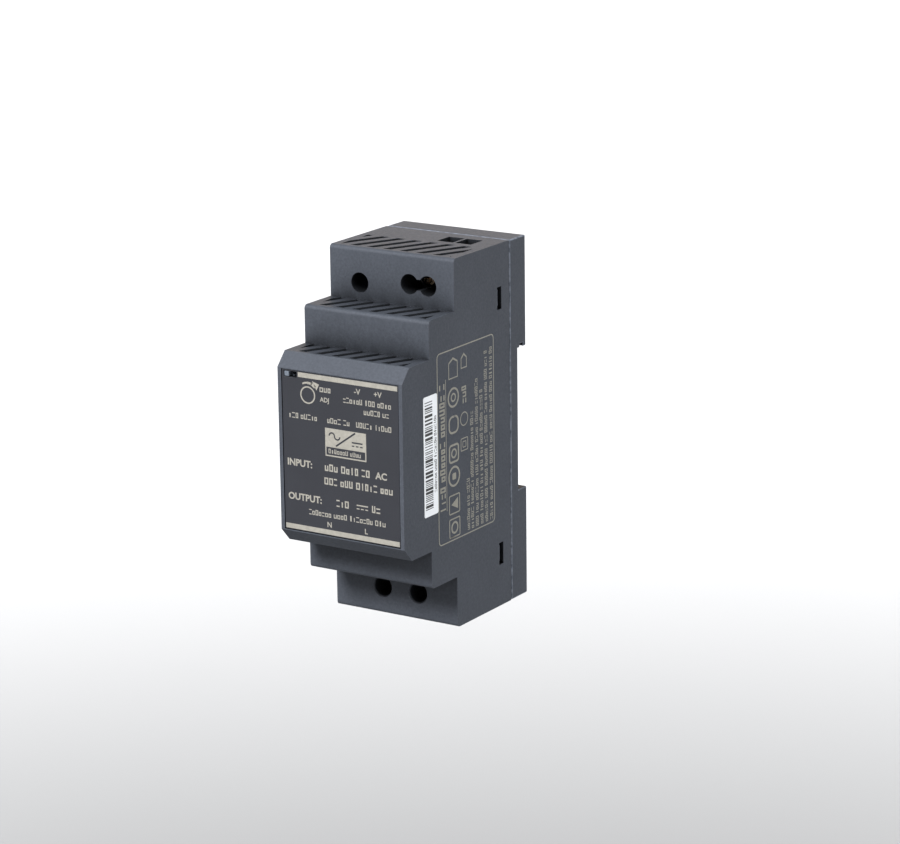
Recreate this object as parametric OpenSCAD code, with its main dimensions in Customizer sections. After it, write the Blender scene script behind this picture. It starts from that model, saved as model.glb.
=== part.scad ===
// Power supply that clips on a 35 mm mounting rail: a stepped two-module case, its rear cover
// with the sliding rail latch, rising-clamp screw terminals, a trimmer and the converter inside.
// Millimetres. +X is the viewer's right, +Y runs from the front towards the wall, +Z is up.
// The origin is the centre of the face that sits on the rail.
// A depth is measured forwards from the rearmost face of the case.

/* [Case] */
// Width of the case, two rail modules less a little play
case_w = 34.9; // [34.6:0.1:35]
// Height of the case
case_h = 90; // [89:0.5:92]
// Depth from the rearmost face to the front of the nose
case_d = 54.5; // [54:0.5:57]
// Depth to the front of the two shoulders
shoulder_d = 32; // [31.5:0.5:33]
// Depth to the front of the middle step
mid_d = 43; // [42:0.5:44]
// Height of the middle step
mid_h = 64.8; // [64:0.2:66]
// Height of the nose
nose_h = 46.3; // [45.5:0.1:47]
// Height of the flat front of the nose, between its two sloping edges
face_h = 39.6; // [39:0.2:40.6]
// How far back the sloping edges of the nose reach
slope_d = 3.1; // [2.8:0.1:3.4]
// Thickness of the case's walls
wall = 1.6; // [1.4:0.1:1.8]
// Rounding of the front edges of the shoulders and the middle step
edge_r = 1; // [0.6:0.1:1.2]
// Depth of the joint between the front housing and the rear cover
seam_d = 7.6; // [7.4:0.1:7.8]
// Width of the shadow groove along that joint
seam_gap = 0.4; // [0.3:0.1:0.5]

/* [Rail] */
// Depth of the channel that takes the rail's flanges
rail_recess = 3.7; // [3.5:0.1:4]
// Height of the channel, a 35 mm rail with play
rail_slot = 35.4; // [35.2:0.1:35.8]
// Room for the thickness of a flange in front of the hook and the latch
flange_gap = 1.4; // [1.2:0.1:1.6]
// How far the fixed hook and the latch reach over the flanges
hook_reach = 1.9; // [1.6:0.1:2.2]
// Half the width of the fixed hook
hook_half_w = 12; // [10:0.5:13]

/* [Latch] */
// Half the width of the latch's rear plate
latch_half_w = 7.1; // [6.5:0.1:7.5]
// How far each side rail of the latch stands out
latch_rail = 1.6; // [1.3:0.1:1.8]
// Gap all round the latch
latch_gap = 0.3; // [0.25:0.05:0.4]
// Length of the latch spring at rest
spring_len = 12; // [11:0.5:13]
// Mean radius of the latch spring
spring_r = 1.3; // [1.1:0.1:1.4]
// Turns of the latch spring
spring_turns = 8; // [6:1:9]

/* [Terminals] */
// Pitch of the output clamps
clamp_pitch = 5.08; // [5:0.01:5.1]
// Centre of the output clamps across the case
output_x = 7.6; // [7:0.1:8]
// Centre of the input clamps across the case
input_x = 1.05; // [0.5:0.05:1.5]
// Height of the output screws above the centre
output_z = 37.65; // [37.4:0.05:37.9]
// Height of the input screws below the centre
input_z = 38.2; // [37.9:0.05:38.4]
// Radius of the screwdriver holes
driver_r = 2.45; // [2.3:0.05:2.5]
// Radius of a terminal screw's shank
screw_r = 1.25; // [1.1:0.05:1.3]
// Radius of a terminal screw's head
screw_head_r = 1.9; // [1.8:0.05:1.95]
// Width of a wire entry in the case
entry_w = 4.4; // [4.2:0.1:4.5]

/* [Trimmer] */
// Place of the trimmer across the case
trimmer_x = -9; // [-9.5:0.1:-8.5]
// Height of the trimmer above the centre
trimmer_z = 36.5; // [36.2:0.1:36.8]
// Radius of the trimmer's rotor
trimmer_r = 2.35; // [2.2:0.05:2.4]

/* [Vents] */
// Spacing of the vent slots across the case
vent_pitch = 4.65; // [4.4:0.05:4.9]
// Width of a vent slot across the case
vent_w = 2.2; // [1.8:0.1:2.6]
// Angle of the vent slots from the line of sight
vent_slant = 27; // [20:1:32]

/* [Hidden] */
$fn = 48;

// Small overlap that makes a cut or a joint clean
eps = 0.5;
half_w = case_w / 2;
half_h = case_h / 2;
inner_w = half_w - wall;
inner_h = half_h - wall;

// Vents: solid rim in front of each band, and a slot's place at the middle of each band
vent_front_rim = 1.8;
vent_rear_d = 18.5;
vent_step_gap = 0.05;
nose_vent_d = case_d - slope_d - vent_front_rim / 2;
vent_edge = 0.4;
vent_start_x = [0.6, -1.75, -1.9];

// Circuit board: it lies on the rear cover's lip
lip_d = 9.2;
board_t = 1.6;
board_d = lip_d + board_t;
board_half_w = inner_w - 0.35;
board_half_h = inner_h - 0.4;
board_stop_z = [39.2, 40.8];
board_stop_d = [board_d, board_d + 4];
board_stop_w = 1;
board_notch_gap = 0.3;
board_tab_gap = 0.4;
lead_r = 0.35;
lead_hole_r = 0.5;
lead_end_d = lip_d - 1.2;

// Rear cover
cover_wall = 2.85;
cover_in_w = half_w - cover_wall;
cover_in_h = half_h - cover_wall;
cover_floor = 1.6;
channel_half = rail_slot / 2;
cover_play = 0.15;
rim_step = 0.35;
tab_t = 1.1;
tab_z = [29.6, 34];
tab_d = 14.2;
window_z = [29, 34.5];
window_d = [11.1, 13];
catch_d = [12.05, 12.95];
catch_root = 0.6;
catch_tip_gap = 0.35;
catch_ramp = 1.1;
pocket_rim = 2.4;
pocket_deep = 0.6;
rib_half = 1.5;
seat_rim = 2;
hook_slope = 0.9;
boss_wall = 1.4;
boss_gap = 0.8;
inside_gap = 1.6;
// Grooves beside the fixed hook
relief_gap = 0.6;
relief_d = [1.2, 2.8];
relief_h = 0.9;

// Latch: rear plate, side rails and lip
latch_rear_d = 0.35;
latch_step_d = 2.3;
latch_rail_d = [latch_step_d + latch_gap, latch_step_d + latch_gap + 1.6];
groove_d = latch_rail_d[1] + latch_gap;
groove_floor = 1.4;
latch_top = channel_half + latch_gap;
latch_rail_top = channel_half + 2.4;
latch_bottom = half_h - 0.1;
neck_gap = 0.4;
lip_back = 0.1;
lip_tip = 0.4;
lip_slope_start = 0.2;
spring_wire_r = 0.25;
spring_seat_z = 36;
spring_seat_len = 2;
spring_seat_d = 1.2;
spring_d = 2.5;
spring_slot_half_w = spring_r + spring_wire_r + 0.45;
pull_z = [41, 43.2];
pull_half_w = 2.3;

// Terminals: depths of a block's parts, from the board forwards
block_z = [32.2, inner_h - 0.2];
block_d = board_d + 13;
block_side = 2.66;
clamp_half_w = 1.9;
clamp_half_l = 2.6;
clamp_wall = 0.5;
clamp_gap = 0.3;
clamp_floor_d = [11.9, 12.7];
clamp_top_d = [17.1, 18.3];
chamber_d = [11.4, 21.1];
bar_d = [15.8, 16.6];
bar_half_w = 1.05;
fit = 0.05;
shelf_d = 21.9;
screw_tip_d = bar_d[1] + fit;
screw_head_h = 1.5;
slot_deep = 0.8;
slot_w = 0.6;
cross_slot = 2.4;
head_bore_r = screw_head_r + 0.25;
wire_hole_half_w = 1.7;
wire_hole_d = [12, 15.7];
entry_d = [11, 16.4];
mouth_w = entry_w - 0.2;
mouth_d = [entry_d[0] + 0.1, entry_d[1] - 0.1];
mouth_deep = 0.7;
bar_back = 1.6;
bar_leg = 0.8;
guide_d = block_d + 0.2;
guide_r = driver_r + 0.85;
input_pitch = 2 * clamp_pitch;
output_poles = [output_x - clamp_pitch / 2, output_x + clamp_pitch / 2];
input_poles = [input_x - input_pitch / 2, input_x + input_pitch / 2];
keyhole_h = 2.65;
rim_chamfer = 0.3;

// Trimmer: a square body, a round pocket and a rotor on a stub shaft
trimmer_half = 3.5;
trimmer_body_d = 17.9;
trimmer_pocket_d = 16.9;
trimmer_rotor_d = [17, 18.6];
trimmer_shaft_r = 1;
trimmer_shaft_d = 15.6;
trimmer_shaft_play = 0.2;
trimmer_guide_d = 20;
arrow_slot = [0.7, 3.8];
arrow_arm = 1;

// Front label and status light
label_half_w = 16.3;
label_half_h = 19.4;
label_t = 0.55;
label_sink = 0.1;
label_play = 0.15;
label_d = [case_d - label_t - label_sink, case_d - label_sink];
light_x = [-15.6, -14.35];
light_z = [17.85, 19.05];
light_window_x = [-15.75, -12.1];
light_window_z = [17.7, 19.2];
light_pipe_d = 50.6;
light_window_d = case_d - slope_d;
light_front_d = case_d - label_sink - 0.05;
light_flange_x = [light_x[0] - 0.1, light_x[1] + 0.6];
light_flange_d = [case_d - wall - 1.2, case_d - wall - 0.1];
light_flange_z = [light_z[0] - 0.9, light_z[0] + 0.3];
led_half_h = 0.8;
led_side = 0.1;
led_gap = 0.1;
sticker_t = 0.08;
sticker_d = [39.9, 45.8];
sticker_z = [-14.3, 14.7];

// Control board, standing on the main board by the left wall
control_x = [-inner_w + 0.25, -inner_w + 1.65];
control_z = [-9.5, 27];
control_tongue_z = [9, 20.6];
control_d = 40.6;
control_tongue_d = 49.4;

// Places of the parts on the main board, as x and z, and their sizes
fuse_at = [-10.2, -28.1];
fuse_size = [8.4, 4.3, 8];
fuse_corner = 0.8;
disc_stand = 1.2;
thermistor_at = [-11.4, -22.6];
thermistor_r = 3.9;
thermistor_t = 3.6;
absorber_at = [-11.1, -37.4];
absorber_r = 3.5;
absorber_t = 3.2;
filter_at = [1.9, -28];
filter_size = [13, 5, 11];
choke_at = [-3.6, -18.2];
choke_r = [3.6, 6.4];
choke_t = 4.6;
choke_turn_r = 3;
choke_wire_r = 0.3;
choke_turns = 6;
choke_turn_step = 20;
choke_lead_rise = 0.6;
choke_ring_r = (choke_r[0] + choke_r[1]) / 2;
choke_d = board_d + choke_ring_r + choke_turn_r + choke_wire_r + 0.3;
bridge_at = [-11.4, -15.6];
bridge_size = [6.4, 8.2, 3.2];
bulk_at = [8, -18];
bulk_r = 6.3;
bulk_h = 28;
can_groove_d = [2.4, 3.2];
can_groove = 0.4;
score_deep = 0.2;
score_w = 0.4;
score_share = 0.7;
sink_t = 1.4;
fin_pitch = 3;
fin_t = 0.9;
primary_sink_z = -9.6;
primary_sink_x = [-11.8, 8.2];
primary_sink_h = 24;
package = [10.2, 4.4, 9];
package_foot = 4;
package_tab = 6;
package_tab_t = 1.3;
package_hole_r = 1.8;
switch_at = [-1.5, primary_sink_z + sink_t + package[1] / 2];
transformer_at = [1, 8];
core_half_w = 12.5;
core_half_t = 3.6;
core_foot = 3.4;
core_h = 20;
core_leg = 3.3;
core_centre_half = 3.5;
core_d = [board_d + core_foot, board_d + core_foot + core_h];
window_core_d = [core_d[0] + core_leg, core_d[1] - core_leg];
bobbin_half_w = 9;
bobbin_half_t = 9.3;
bobbin_tube = 0.8;
bobbin_flange = 0.8;
bobbin_clear = 0.12;
bobbin_tube_size = [
    2 * (core_centre_half + bobbin_clear + bobbin_tube),
    2 * (core_half_t + bobbin_clear + bobbin_tube)
];
winding_r = 2.4;
winding_inset = 0.3;
safety_at = [12.2, -6.2];
safety_r = 3.4;
safety_t = 3;
opto_at = [-11.3, 15.2];
opto_size = [4.4, 4.8, 3.4];
opto_stand = 0.4;
opto_leg_d = [1.2, 1.6];
opto_leg_w = 0.6;
opto_leg_root = 0.4;
opto_pitch = 2.54;
opto_rows = 7.62;
chip_z = [-3, 2];
chip_d = [20, 26];
chip_t = 1.5;
chip_stand = 0.15;
chip_leg = 1;
chip_leg_w = 0.45;
chip_leg_rise = 0.4;
chip_leg_start = 0.4;
chip_leg_pitch = 1.2;
output_sink_z = 22.2;
output_sink_x = [-12.6, 3.4];
output_sink_h = 22;
sink_fin = [1.6, 0.5];
rectifier_at = [-3.4, output_sink_z - package[1] / 2];
output_can_at = [[9.9, 25.8], [-0.6, 28]];
output_can_r = [4.9, 3.7];
output_can_h = [20, 16];
output_choke_at = [-9.6, 28.1];
output_choke_r = 3.6;
output_choke_h = 10;
drum_flange = 1.4;
drum_step = 0.7;
insulation_t = 0.25;
insulation_gap = 0.3;

// Colours
grey_plastic = [0.30, 0.33, 0.37];
label_grey = [0.26, 0.27, 0.30];
board_green = [0.10, 0.32, 0.18];
steel = [0.75, 0.76, 0.78];
copper = [0.80, 0.45, 0.25];
black = [0.10, 0.10, 0.11];

function both(v) = [-v, v];
function y_at(depth) = rail_recess - depth;
function beside(at, gap) = [[at[0] - gap / 2, at[1]], [at[0] + gap / 2, at[1]]];
function behind(at, gap) = [[at[0], at[1] - gap / 2], [at[0], at[1] + gap / 2]];
function three(at, gap) = concat(beside(at, 2 * gap), [at]);
function four(at, gap_x, gap_z) = [
    for (side = [-1, 1]) each behind([at[0] + side * gap_x / 2, at[1]], gap_z)
];
function about(x, width) = [x - width / 2, x + width / 2];

// Lead positions on the main board
pin_back = clamp_half_l + clamp_gap + bar_back - bar_leg / 2;
output_pin_z = output_z - pin_back;
input_pin_z = input_z - pin_back;
output_pins = [for (x = output_poles) [x, output_pin_z]];
input_pins = [for (x = input_poles) [x, -input_pin_z]];
trimmer_pins = concat(beside([trimmer_x, trimmer_z - 2.5], 5), [[trimmer_x, trimmer_z + 2.5]]);
fuse_pins = beside(fuse_at, 5.08);
thermistor_pins = beside(thermistor_at, 5);
absorber_pins = beside(absorber_at, 5);
filter_pins = beside(filter_at, 10);
choke_pins = four(choke_at, 4, 8);
bridge_pins = four(bridge_at, 4, 5);
bulk_pins = beside(bulk_at, 5);
switch_pins = three(switch_at, 2.54);
rectifier_pins = three(rectifier_at, 2.54);
bobbin_pin_z = bobbin_half_t - 1.5;
bobbin_pins = [
    for (side = [-1, 1]) for (i = [-1.5:1:1.5])
        [transformer_at[0] + i * 5, transformer_at[1] + side * bobbin_pin_z]
];
safety_pins = behind(safety_at, 5);
opto_pins = four(opto_at, opto_pitch, opto_rows);
can_pins = concat(beside(output_can_at[0], 5), beside(output_can_at[1], 3.5));
output_choke_pins = beside(output_choke_at, 4);
small_pins = concat(
    trimmer_pins, fuse_pins, thermistor_pins, absorber_pins, filter_pins, choke_pins,
    bridge_pins, bulk_pins, switch_pins, rectifier_pins, bobbin_pins, safety_pins, opto_pins,
    can_pins, output_choke_pins
);
contact_pins = concat(output_pins, input_pins);
contact_pin_half = 0.4;
contact_hole_r = 0.7;

// A block between two x values, two depths and two heights
module slab(x, d, z) {
    translate([x[0], y_at(d[1]), z[0]])
        cube([x[1] - x[0], d[1] - d[0], z[1] - z[0]]);
}

// A round bar along the line of sight, between two depths
module rod(x, z, d, r) {
    translate([x, y_at(d[1]), z])
        rotate([-90, 0, 0])
            cylinder(r = r, h = d[1] - d[0]);
}

// A round bar up the case, between two heights
module upright(x, d, z, r) {
    translate([x, y_at(d), z[0]])
        cylinder(r = r, h = z[1] - z[0]);
}

// A side outline, drawn as y and z, stretched across a width
module across(width) {
    translate([-width / 2, 0, 0])
        rotate([90, 0, 90])
            linear_extrude(width)
                children();
}

module mirrored_x() {
    children();
    mirror([1, 0, 0])
        children();
}

module mirrored_z() {
    children();
    mirror([0, 0, 1])
        children();
}

// Block with its four upright edges rounded, seen from the front
module soft_block(at, size, d, r) {
    half_x = size[0] / 2;
    half_z = size[1] / 2;
    slab([at[0] - half_x + r, at[0] + half_x - r], d, [at[1] - half_z, at[1] + half_z]);
    slab([at[0] - half_x, at[0] + half_x], d, [at[1] - half_z + r, at[1] + half_z - r]);
    for (sx = [-1, 1]) {
        for (sz = [-1, 1]) {
            rod(at[0] + sx * (half_x - r), at[1] + sz * (half_z - r), d, r);
        }
    }
}

// Solder leads from a part's base through the main board
module leads(pins, base_d) {
    for (p = pins) {
        rod(p[0], p[1], [lead_end_d, base_d], lead_r);
    }
}

// Waste piece that rounds one front edge of the side outline
module edge_waste() {
    difference() {
        translate([-eps, -eps])
            square(edge_r + eps);
        translate([edge_r, edge_r])
            circle(edge_r);
    }
}

// Side outline of the stepped case, drawn in by an inset
module case_outline(inset) {
    h1 = half_h - inset;
    h2 = mid_h / 2 - inset;
    h3 = nose_h / 2 - inset;
    h4 = face_h / 2 - inset;
    y1 = y_at(shoulder_d - inset);
    y2 = y_at(mid_d - inset);
    y3 = y_at(case_d - slope_d - inset);
    y4 = y_at(case_d - inset);
    y0 = y_at(seam_d) + (inset > 0 ? eps : 0);
    polygon([
        [y0, -h1], [y1, -h1], [y1, -h2], [y2, -h2], [y2, -h3], [y3, -h3], [y4, -h4],
        [y4, h4], [y3, h3], [y2, h3], [y2, h2], [y1, h2], [y1, h1], [y0, h1]
    ]);
}

module rounded_outline() {
    difference() {
        case_outline(0);
        for (side = [-1, 1]) {
            translate([y_at(shoulder_d), side * half_h])
                scale([1, -side])
                    edge_waste();
            translate([y_at(mid_d), side * mid_h / 2])
                scale([1, -side])
                    edge_waste();
        }
    }
}

// Slanted vent slots through one level, between two depths
module vents(level_h, d, start_x) {
    mid_depth = (d[0] + d[1]) / 2;
    slot_len = 2 * (d[1] - d[0]);
    intersection() {
        slab(both(inner_w - vent_edge), d, [level_h / 2 - wall - eps, level_h / 2 + eps]);
        union() {
            for (i = [-5:5]) {
                translate([start_x + i * vent_pitch, y_at(mid_depth), level_h / 2])
                    rotate([0, 0, -vent_slant])
                        cube([vent_w * cos(vent_slant), slot_len, 3 * wall], center = true);
            }
        }
    }
}

// Screwdriver holes of the output, two rounds joined by a slot
module output_driver_holes() {
    depth = [guide_d - eps, shoulder_d + eps];
    for (x = output_poles) {
        rod(x, output_z, depth, driver_r);
    }
    slab(output_poles, depth, [output_z - keyhole_h / 2, output_z + keyhole_h / 2]);
}

// Screwdriver holes of the input, with a broken front edge
module input_driver_holes() {
    for (x = input_poles) {
        rod(x, -input_z, [guide_d - eps, shoulder_d + eps], driver_r);
        translate([x, y_at(shoulder_d), -input_z])
            rotate([-90, 0, 0])
                cylinder(r1 = driver_r + rim_chamfer, r2 = driver_r, h = rim_chamfer);
    }
}

module front_housing() {
    color(grey_plastic)
    difference() {
        union() {
            difference() {
                across(case_w)
                    rounded_outline();
                across(2 * inner_w)
                    case_outline(wall);
            }
            for (x = output_poles) {
                rod(x, output_z, [guide_d, shoulder_d - wall / 2], guide_r);
            }
            for (x = input_poles) {
                rod(x, -input_z, [guide_d, shoulder_d - wall / 2], guide_r);
            }
            rod(trimmer_x, trimmer_z, [trimmer_guide_d, shoulder_d - wall / 2], guide_r);
            mirrored_x()
                mirrored_z()
                    slab([inner_w - board_stop_w, inner_w + eps], board_stop_d, board_stop_z);
        }
        output_driver_holes();
        input_driver_holes();
        rod(trimmer_x, trimmer_z, [trimmer_guide_d - eps, shoulder_d + eps], driver_r);
        mirrored_z() {
            vents(case_h, [vent_rear_d, shoulder_d - vent_front_rim], vent_start_x[0]);
            vents(mid_h, [shoulder_d + vent_step_gap, mid_d - vent_front_rim], vent_start_x[1]);
            vents(nose_h, [mid_d + vent_step_gap, nose_vent_d], vent_start_x[2]);
        }
        for (x = output_poles) {
            slab(about(x, entry_w), entry_d, [inner_h - eps, half_h + eps]);
        }
        for (x = input_poles) {
            slab(about(x, entry_w), entry_d, [-half_h - eps, -inner_h + eps]);
        }
        mirrored_x()
            mirrored_z()
                slab([inner_w - eps, half_w + eps], window_d, window_z);
        slab(
            both(label_half_w + label_play), [label_d[0], case_d + eps],
            both(label_half_h + label_play)
        );
        slab(light_window_x, [light_window_d, case_d + eps], light_window_z);
    }
}

// Catch on one snap tab: a wedge that sits in the housing's window
module snap_catch() {
    root_x = inner_w - cover_play - catch_root;
    translate([0, 0, tab_z[0]])
        linear_extrude(tab_z[1] - tab_z[0])
            polygon([
                [root_x, y_at(catch_d[0])],
                [half_w - catch_tip_gap, y_at(catch_d[0])],
                [half_w - catch_ramp, y_at(catch_d[1])],
                [root_x, y_at(catch_d[1])]
            ]);
}

// Fixed hook over the rail's upper flange
module fixed_hook() {
    lip_front = y_at(rail_recess - flange_gap);
    low = channel_half - hook_reach;
    across(2 * hook_half_w)
        polygon([
            [lip_front, channel_half + eps],
            [lip_front, low],
            [y_at(hook_slope), low],
            [y_at(0), low + hook_slope],
            [y_at(0), channel_half + eps]
        ]);
}

// T-shaped groove that guides the latch, open at the bottom and to the channel
module latch_groove() {
    top = -channel_half + eps;
    rail_top = -latch_rail_top + latch_gap;
    bottom = -half_h - eps;
    slab(both(latch_half_w + latch_gap), [-eps, groove_d], [bottom, top]);
    slab(both(latch_half_w + latch_rail + latch_gap), [latch_step_d, groove_d], [bottom, rail_top]);
}

module cover_body() {
    boss_half = latch_half_w + latch_rail + latch_gap + boss_wall;
    tab_x = [inner_w - cover_play - tab_t, inner_w - cover_play];
    low = channel_half + inside_gap;
    union() {
        difference() {
            union() {
                slab(both(half_w), [0, seam_d - seam_gap], both(half_h));
                slab(
                    both(half_w - rim_step), [seam_d - seam_gap - eps, seam_d],
                    both(half_h - rim_step)
                );
                slab(both(inner_w - cover_play), [seam_d - eps, lip_d], both(inner_h - cover_play));
            }
            mirrored_z()
                slab(both(cover_in_w), [cover_floor, lip_d + eps], [low, cover_in_h]);
            slab(both(cover_in_w), [rail_recess + cover_floor, lip_d + eps], both(cover_in_h));
            slab(both(half_w + eps), [-eps, rail_recess], both(channel_half));
            mirrored_x()
                slab(
                    [hook_half_w + relief_gap, half_w + eps], relief_d,
                    [channel_half - eps, channel_half + relief_h]
                );
        }
        fixed_hook();
        mirrored_x()
            mirrored_z() {
                slab(tab_x, [seam_d - eps, tab_d], tab_z);
                snap_catch();
            }
        difference() {
            slab(
                both(boss_half), [cover_floor - eps, groove_d + groove_floor],
                [-half_h + wall, -channel_half - boss_gap]
            );
            latch_groove();
        }
    }
}

// Shallow mould pockets in the rear faces
module cover_pockets() {
    rim_z = [channel_half + pocket_rim, half_h - pocket_rim];
    lower_x = latch_half_w + pocket_rim + rib_half;
    seat_x = half_w - pocket_rim - seat_rim;
    seat_d = [rail_recess - eps, rail_recess + pocket_deep];
    mirrored_x() {
        slab([rib_half, half_w - pocket_rim], [-eps, pocket_deep], rim_z);
        slab([lower_x, half_w - pocket_rim], [-eps, pocket_deep], [-rim_z[1], -rim_z[0]]);
        slab([rib_half, seat_x], seat_d, both(channel_half - pocket_rim - seat_rim));
    }
}

module rear_cover() {
    color(grey_plastic)
    union() {
        difference() {
            cover_body();
            latch_groove();
            cover_pockets();
        }
        slab(
            both(spring_slot_half_w - latch_gap), [spring_seat_d, groove_d + eps],
            [-spring_seat_z - spring_seat_len, -spring_seat_z]
        );
    }
}

module rail_latch() {
    lip_front_d = rail_recess - flange_gap - lip_back;
    lip_z = -channel_half + hook_reach;
    slot_z = [-spring_seat_z - spring_seat_len - latch_gap, -spring_seat_z + spring_len];
    color(grey_plastic)
    difference() {
        union() {
            slab(both(latch_half_w), [latch_rear_d, latch_rail_d[1]], [-latch_bottom, -latch_rail_top]);
            slab(
                both(latch_half_w), [latch_rear_d, rail_recess - neck_gap],
                [-latch_rail_top - eps, -latch_top]
            );
            slab(both(latch_half_w + latch_rail), latch_rail_d, [-latch_bottom, -latch_rail_top]);
            across(2 * latch_half_w)
                polygon([
                    [y_at(lip_front_d), -latch_top - eps],
                    [y_at(lip_front_d), lip_z],
                    [y_at(lip_front_d - lip_tip), lip_z],
                    [y_at(latch_rear_d), -channel_half + lip_slope_start],
                    [y_at(latch_rear_d), -latch_top - eps]
                ]);
        }
        slab(both(spring_slot_half_w), [latch_rear_d - eps, groove_d], slot_z);
        slab(both(pull_half_w), [latch_rear_d - eps, groove_d], [-pull_z[1], -pull_z[0]]);
    }
}

// Coil of the latch spring: a round wire swept along a helix whose end turns lie close
module latch_spring() {
    sides = 8;
    steps = 14;
    last = spring_turns * steps;
    seat_gap = 0.05;
    end_pitch = 2 * spring_wire_r + seat_gap;
    free_len = spring_len - 2 * spring_wire_r - 2 * seat_gap;
    mid_pitch = (free_len - 2 * end_pitch) / (spring_turns - 2);
    first_z = -spring_seat_z + spring_wire_r + seat_gap;
    function end_rise(t) = end_pitch * (min(1, t) + max(0, t - spring_turns + 1));
    function mid_rise(t) = mid_pitch * min(spring_turns - 2, max(0, t - 1));
    function height(i) = first_z + end_rise(i / steps) + mid_rise(i / steps);
    points = [
        for (i = [0:last]) for (k = [0:sides - 1])
            let (turn = 360 * i / steps, side = 360 * k / sides)
            let (r = spring_r + spring_wire_r * cos(side), rise = spring_wire_r * sin(side))
                [r * cos(turn), y_at(spring_d) + r * sin(turn), height(i) + rise]
    ];
    walls = [
        for (i = [0:last - 1]) for (k = [0:sides - 1])
            let (a = i * sides + k, b = i * sides + (k + 1) % sides)
                each [[a, a + sides, b + sides], [a, b + sides, b]]
    ];
    start_cap = [for (k = [1:sides - 2]) [0, k, k + 1]];
    end_cap = [for (k = [1:sides - 2]) [last * sides, last * sides + k + 1, last * sides + k]];
    color(steel)
        polyhedron(points, concat(walls, start_cap, end_cap));
}

module front_label() {
    color(label_grey)
    difference() {
        slab(both(label_half_w), label_d, both(label_half_h));
        slab(light_window_x, [case_d - wall, case_d + eps], light_window_z);
    }
}

module side_sticker() {
    color("white")
        slab([half_w, half_w + sticker_t], sticker_d, sticker_z);
}

module light_pipe() {
    color([0.85, 0.9, 0.85])
    union() {
        slab(light_x, [light_pipe_d, light_front_d], light_z);
        slab(light_flange_x, light_flange_d, light_flange_z);
    }
}

module status_led() {
    middle_z = (light_z[0] + light_z[1]) / 2;
    color([0.9, 0.95, 0.8])
        slab(
            [control_x[0] + led_side, control_x[1] - led_side],
            [control_tongue_d, light_pipe_d - led_gap], [middle_z - led_half_h, middle_z + led_half_h]
        );
}

module main_board() {
    notch_x = inner_w - cover_play - tab_t - board_notch_gap;
    notch_z = [tab_z[0] - board_tab_gap, tab_z[1] + board_tab_gap];
    color(board_green)
    difference() {
        slab(both(board_half_w), [lip_d, board_d], both(board_half_h));
        for (p = small_pins) {
            rod(p[0], p[1], [lip_d - eps, board_d + eps], lead_hole_r);
        }
        for (p = contact_pins) {
            rod(p[0], p[1], [lip_d - eps, board_d + eps], contact_hole_r);
        }
        mirrored_x()
            mirrored_z()
                slab([notch_x, inner_w + eps], [lip_d - eps, board_d + eps], notch_z);
    }
}

module control_board() {
    color(board_green)
    union() {
        slab(control_x, [board_d, control_d], control_z);
        slab(control_x, [control_d - eps, control_tongue_d], control_tongue_z);
    }
}

module insulation_sheet() {
    rear = groove_d + groove_floor;
    color([0.85, 0.85, 0.8])
        slab(
            both(cover_in_w - insulation_gap), [rear, rear + insulation_t],
            both(cover_in_h - insulation_gap)
        );
}

// Body of a terminal block, with a clamp chamber, a screw bore and a wire hole for each pole
module terminal_block(poles, screw_z) {
    chamber_half_w = clamp_half_w + clamp_gap;
    chamber_half_l = clamp_half_l + clamp_gap;
    difference() {
        slab([poles[0] - block_side, poles[1] + block_side], [board_d, block_d], block_z);
        for (x = poles) {
            slab(about(x, 2 * chamber_half_w), chamber_d, about(screw_z, 2 * chamber_half_l));
            rod(x, screw_z, [chamber_d[1] - eps, shelf_d + eps], screw_r + fit);
            rod(x, screw_z, [shelf_d, block_d + eps], head_bore_r);
            slab(about(x, 2 * wire_hole_half_w), wire_hole_d, [screw_z, block_z[1] + eps]);
            slab(about(x, mouth_w), mouth_d, [block_z[1] - mouth_deep, block_z[1] + eps]);
            slab(
                about(x, 2 * (bar_half_w + fit)), [board_d - eps, bar_d[1] + fit],
                [screw_z - chamber_half_l - bar_back - fit, screw_z - chamber_half_l + eps]
            );
        }
    }
}

// Contact bars of a block, each with its solder pin
module contact_bars(poles, screw_z) {
    bar_end = screw_z - clamp_half_l - clamp_gap - bar_back;
    leg_z = [bar_end, bar_end + bar_leg];
    for (x = poles) {
        slab(about(x, 2 * bar_half_w), bar_d, [bar_end, screw_z + clamp_half_l]);
        slab(about(x, 2 * bar_half_w), [board_d, bar_d[1]], leg_z);
        slab(about(x, 2 * contact_pin_half), [lead_end_d, board_d + eps], leg_z);
    }
}

// Rising clamp of one pole: a box round the bar and the wire, threaded on the screw
module clamp(x, screw_z) {
    z = [screw_z - clamp_half_l, screw_z + clamp_half_l];
    inner = clamp_half_w - clamp_wall;
    difference() {
        slab(about(x, 2 * clamp_half_w), [clamp_floor_d[0], clamp_top_d[1]], z);
        slab(about(x, 2 * inner), [clamp_floor_d[1], clamp_top_d[0]], [z[0] - eps, z[1] + eps]);
        rod(x, screw_z, [clamp_top_d[0] - eps, clamp_top_d[1] + eps], screw_r + fit);
    }
}

// Screw of one pole, with a slot and a shorter cross slot
module clamp_screw(x, screw_z) {
    head_d = [shelf_d + fit, shelf_d + fit + screw_head_h];
    slot_d = [head_d[1] - slot_deep, head_d[1] + eps];
    difference() {
        union() {
            rod(x, screw_z, head_d, screw_head_r);
            rod(x, screw_z, [screw_tip_d, head_d[0] + eps], screw_r);
        }
        slab(about(x, slot_w), slot_d, about(screw_z, 2 * (screw_head_r + eps)));
        slab(about(x, cross_slot), slot_d, about(screw_z, slot_w));
    }
}

module output_terminal_block() {
    color(black)
        terminal_block(output_poles, output_z);
}

module output_contacts() {
    color(copper)
        contact_bars(output_poles, output_z);
}

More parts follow.
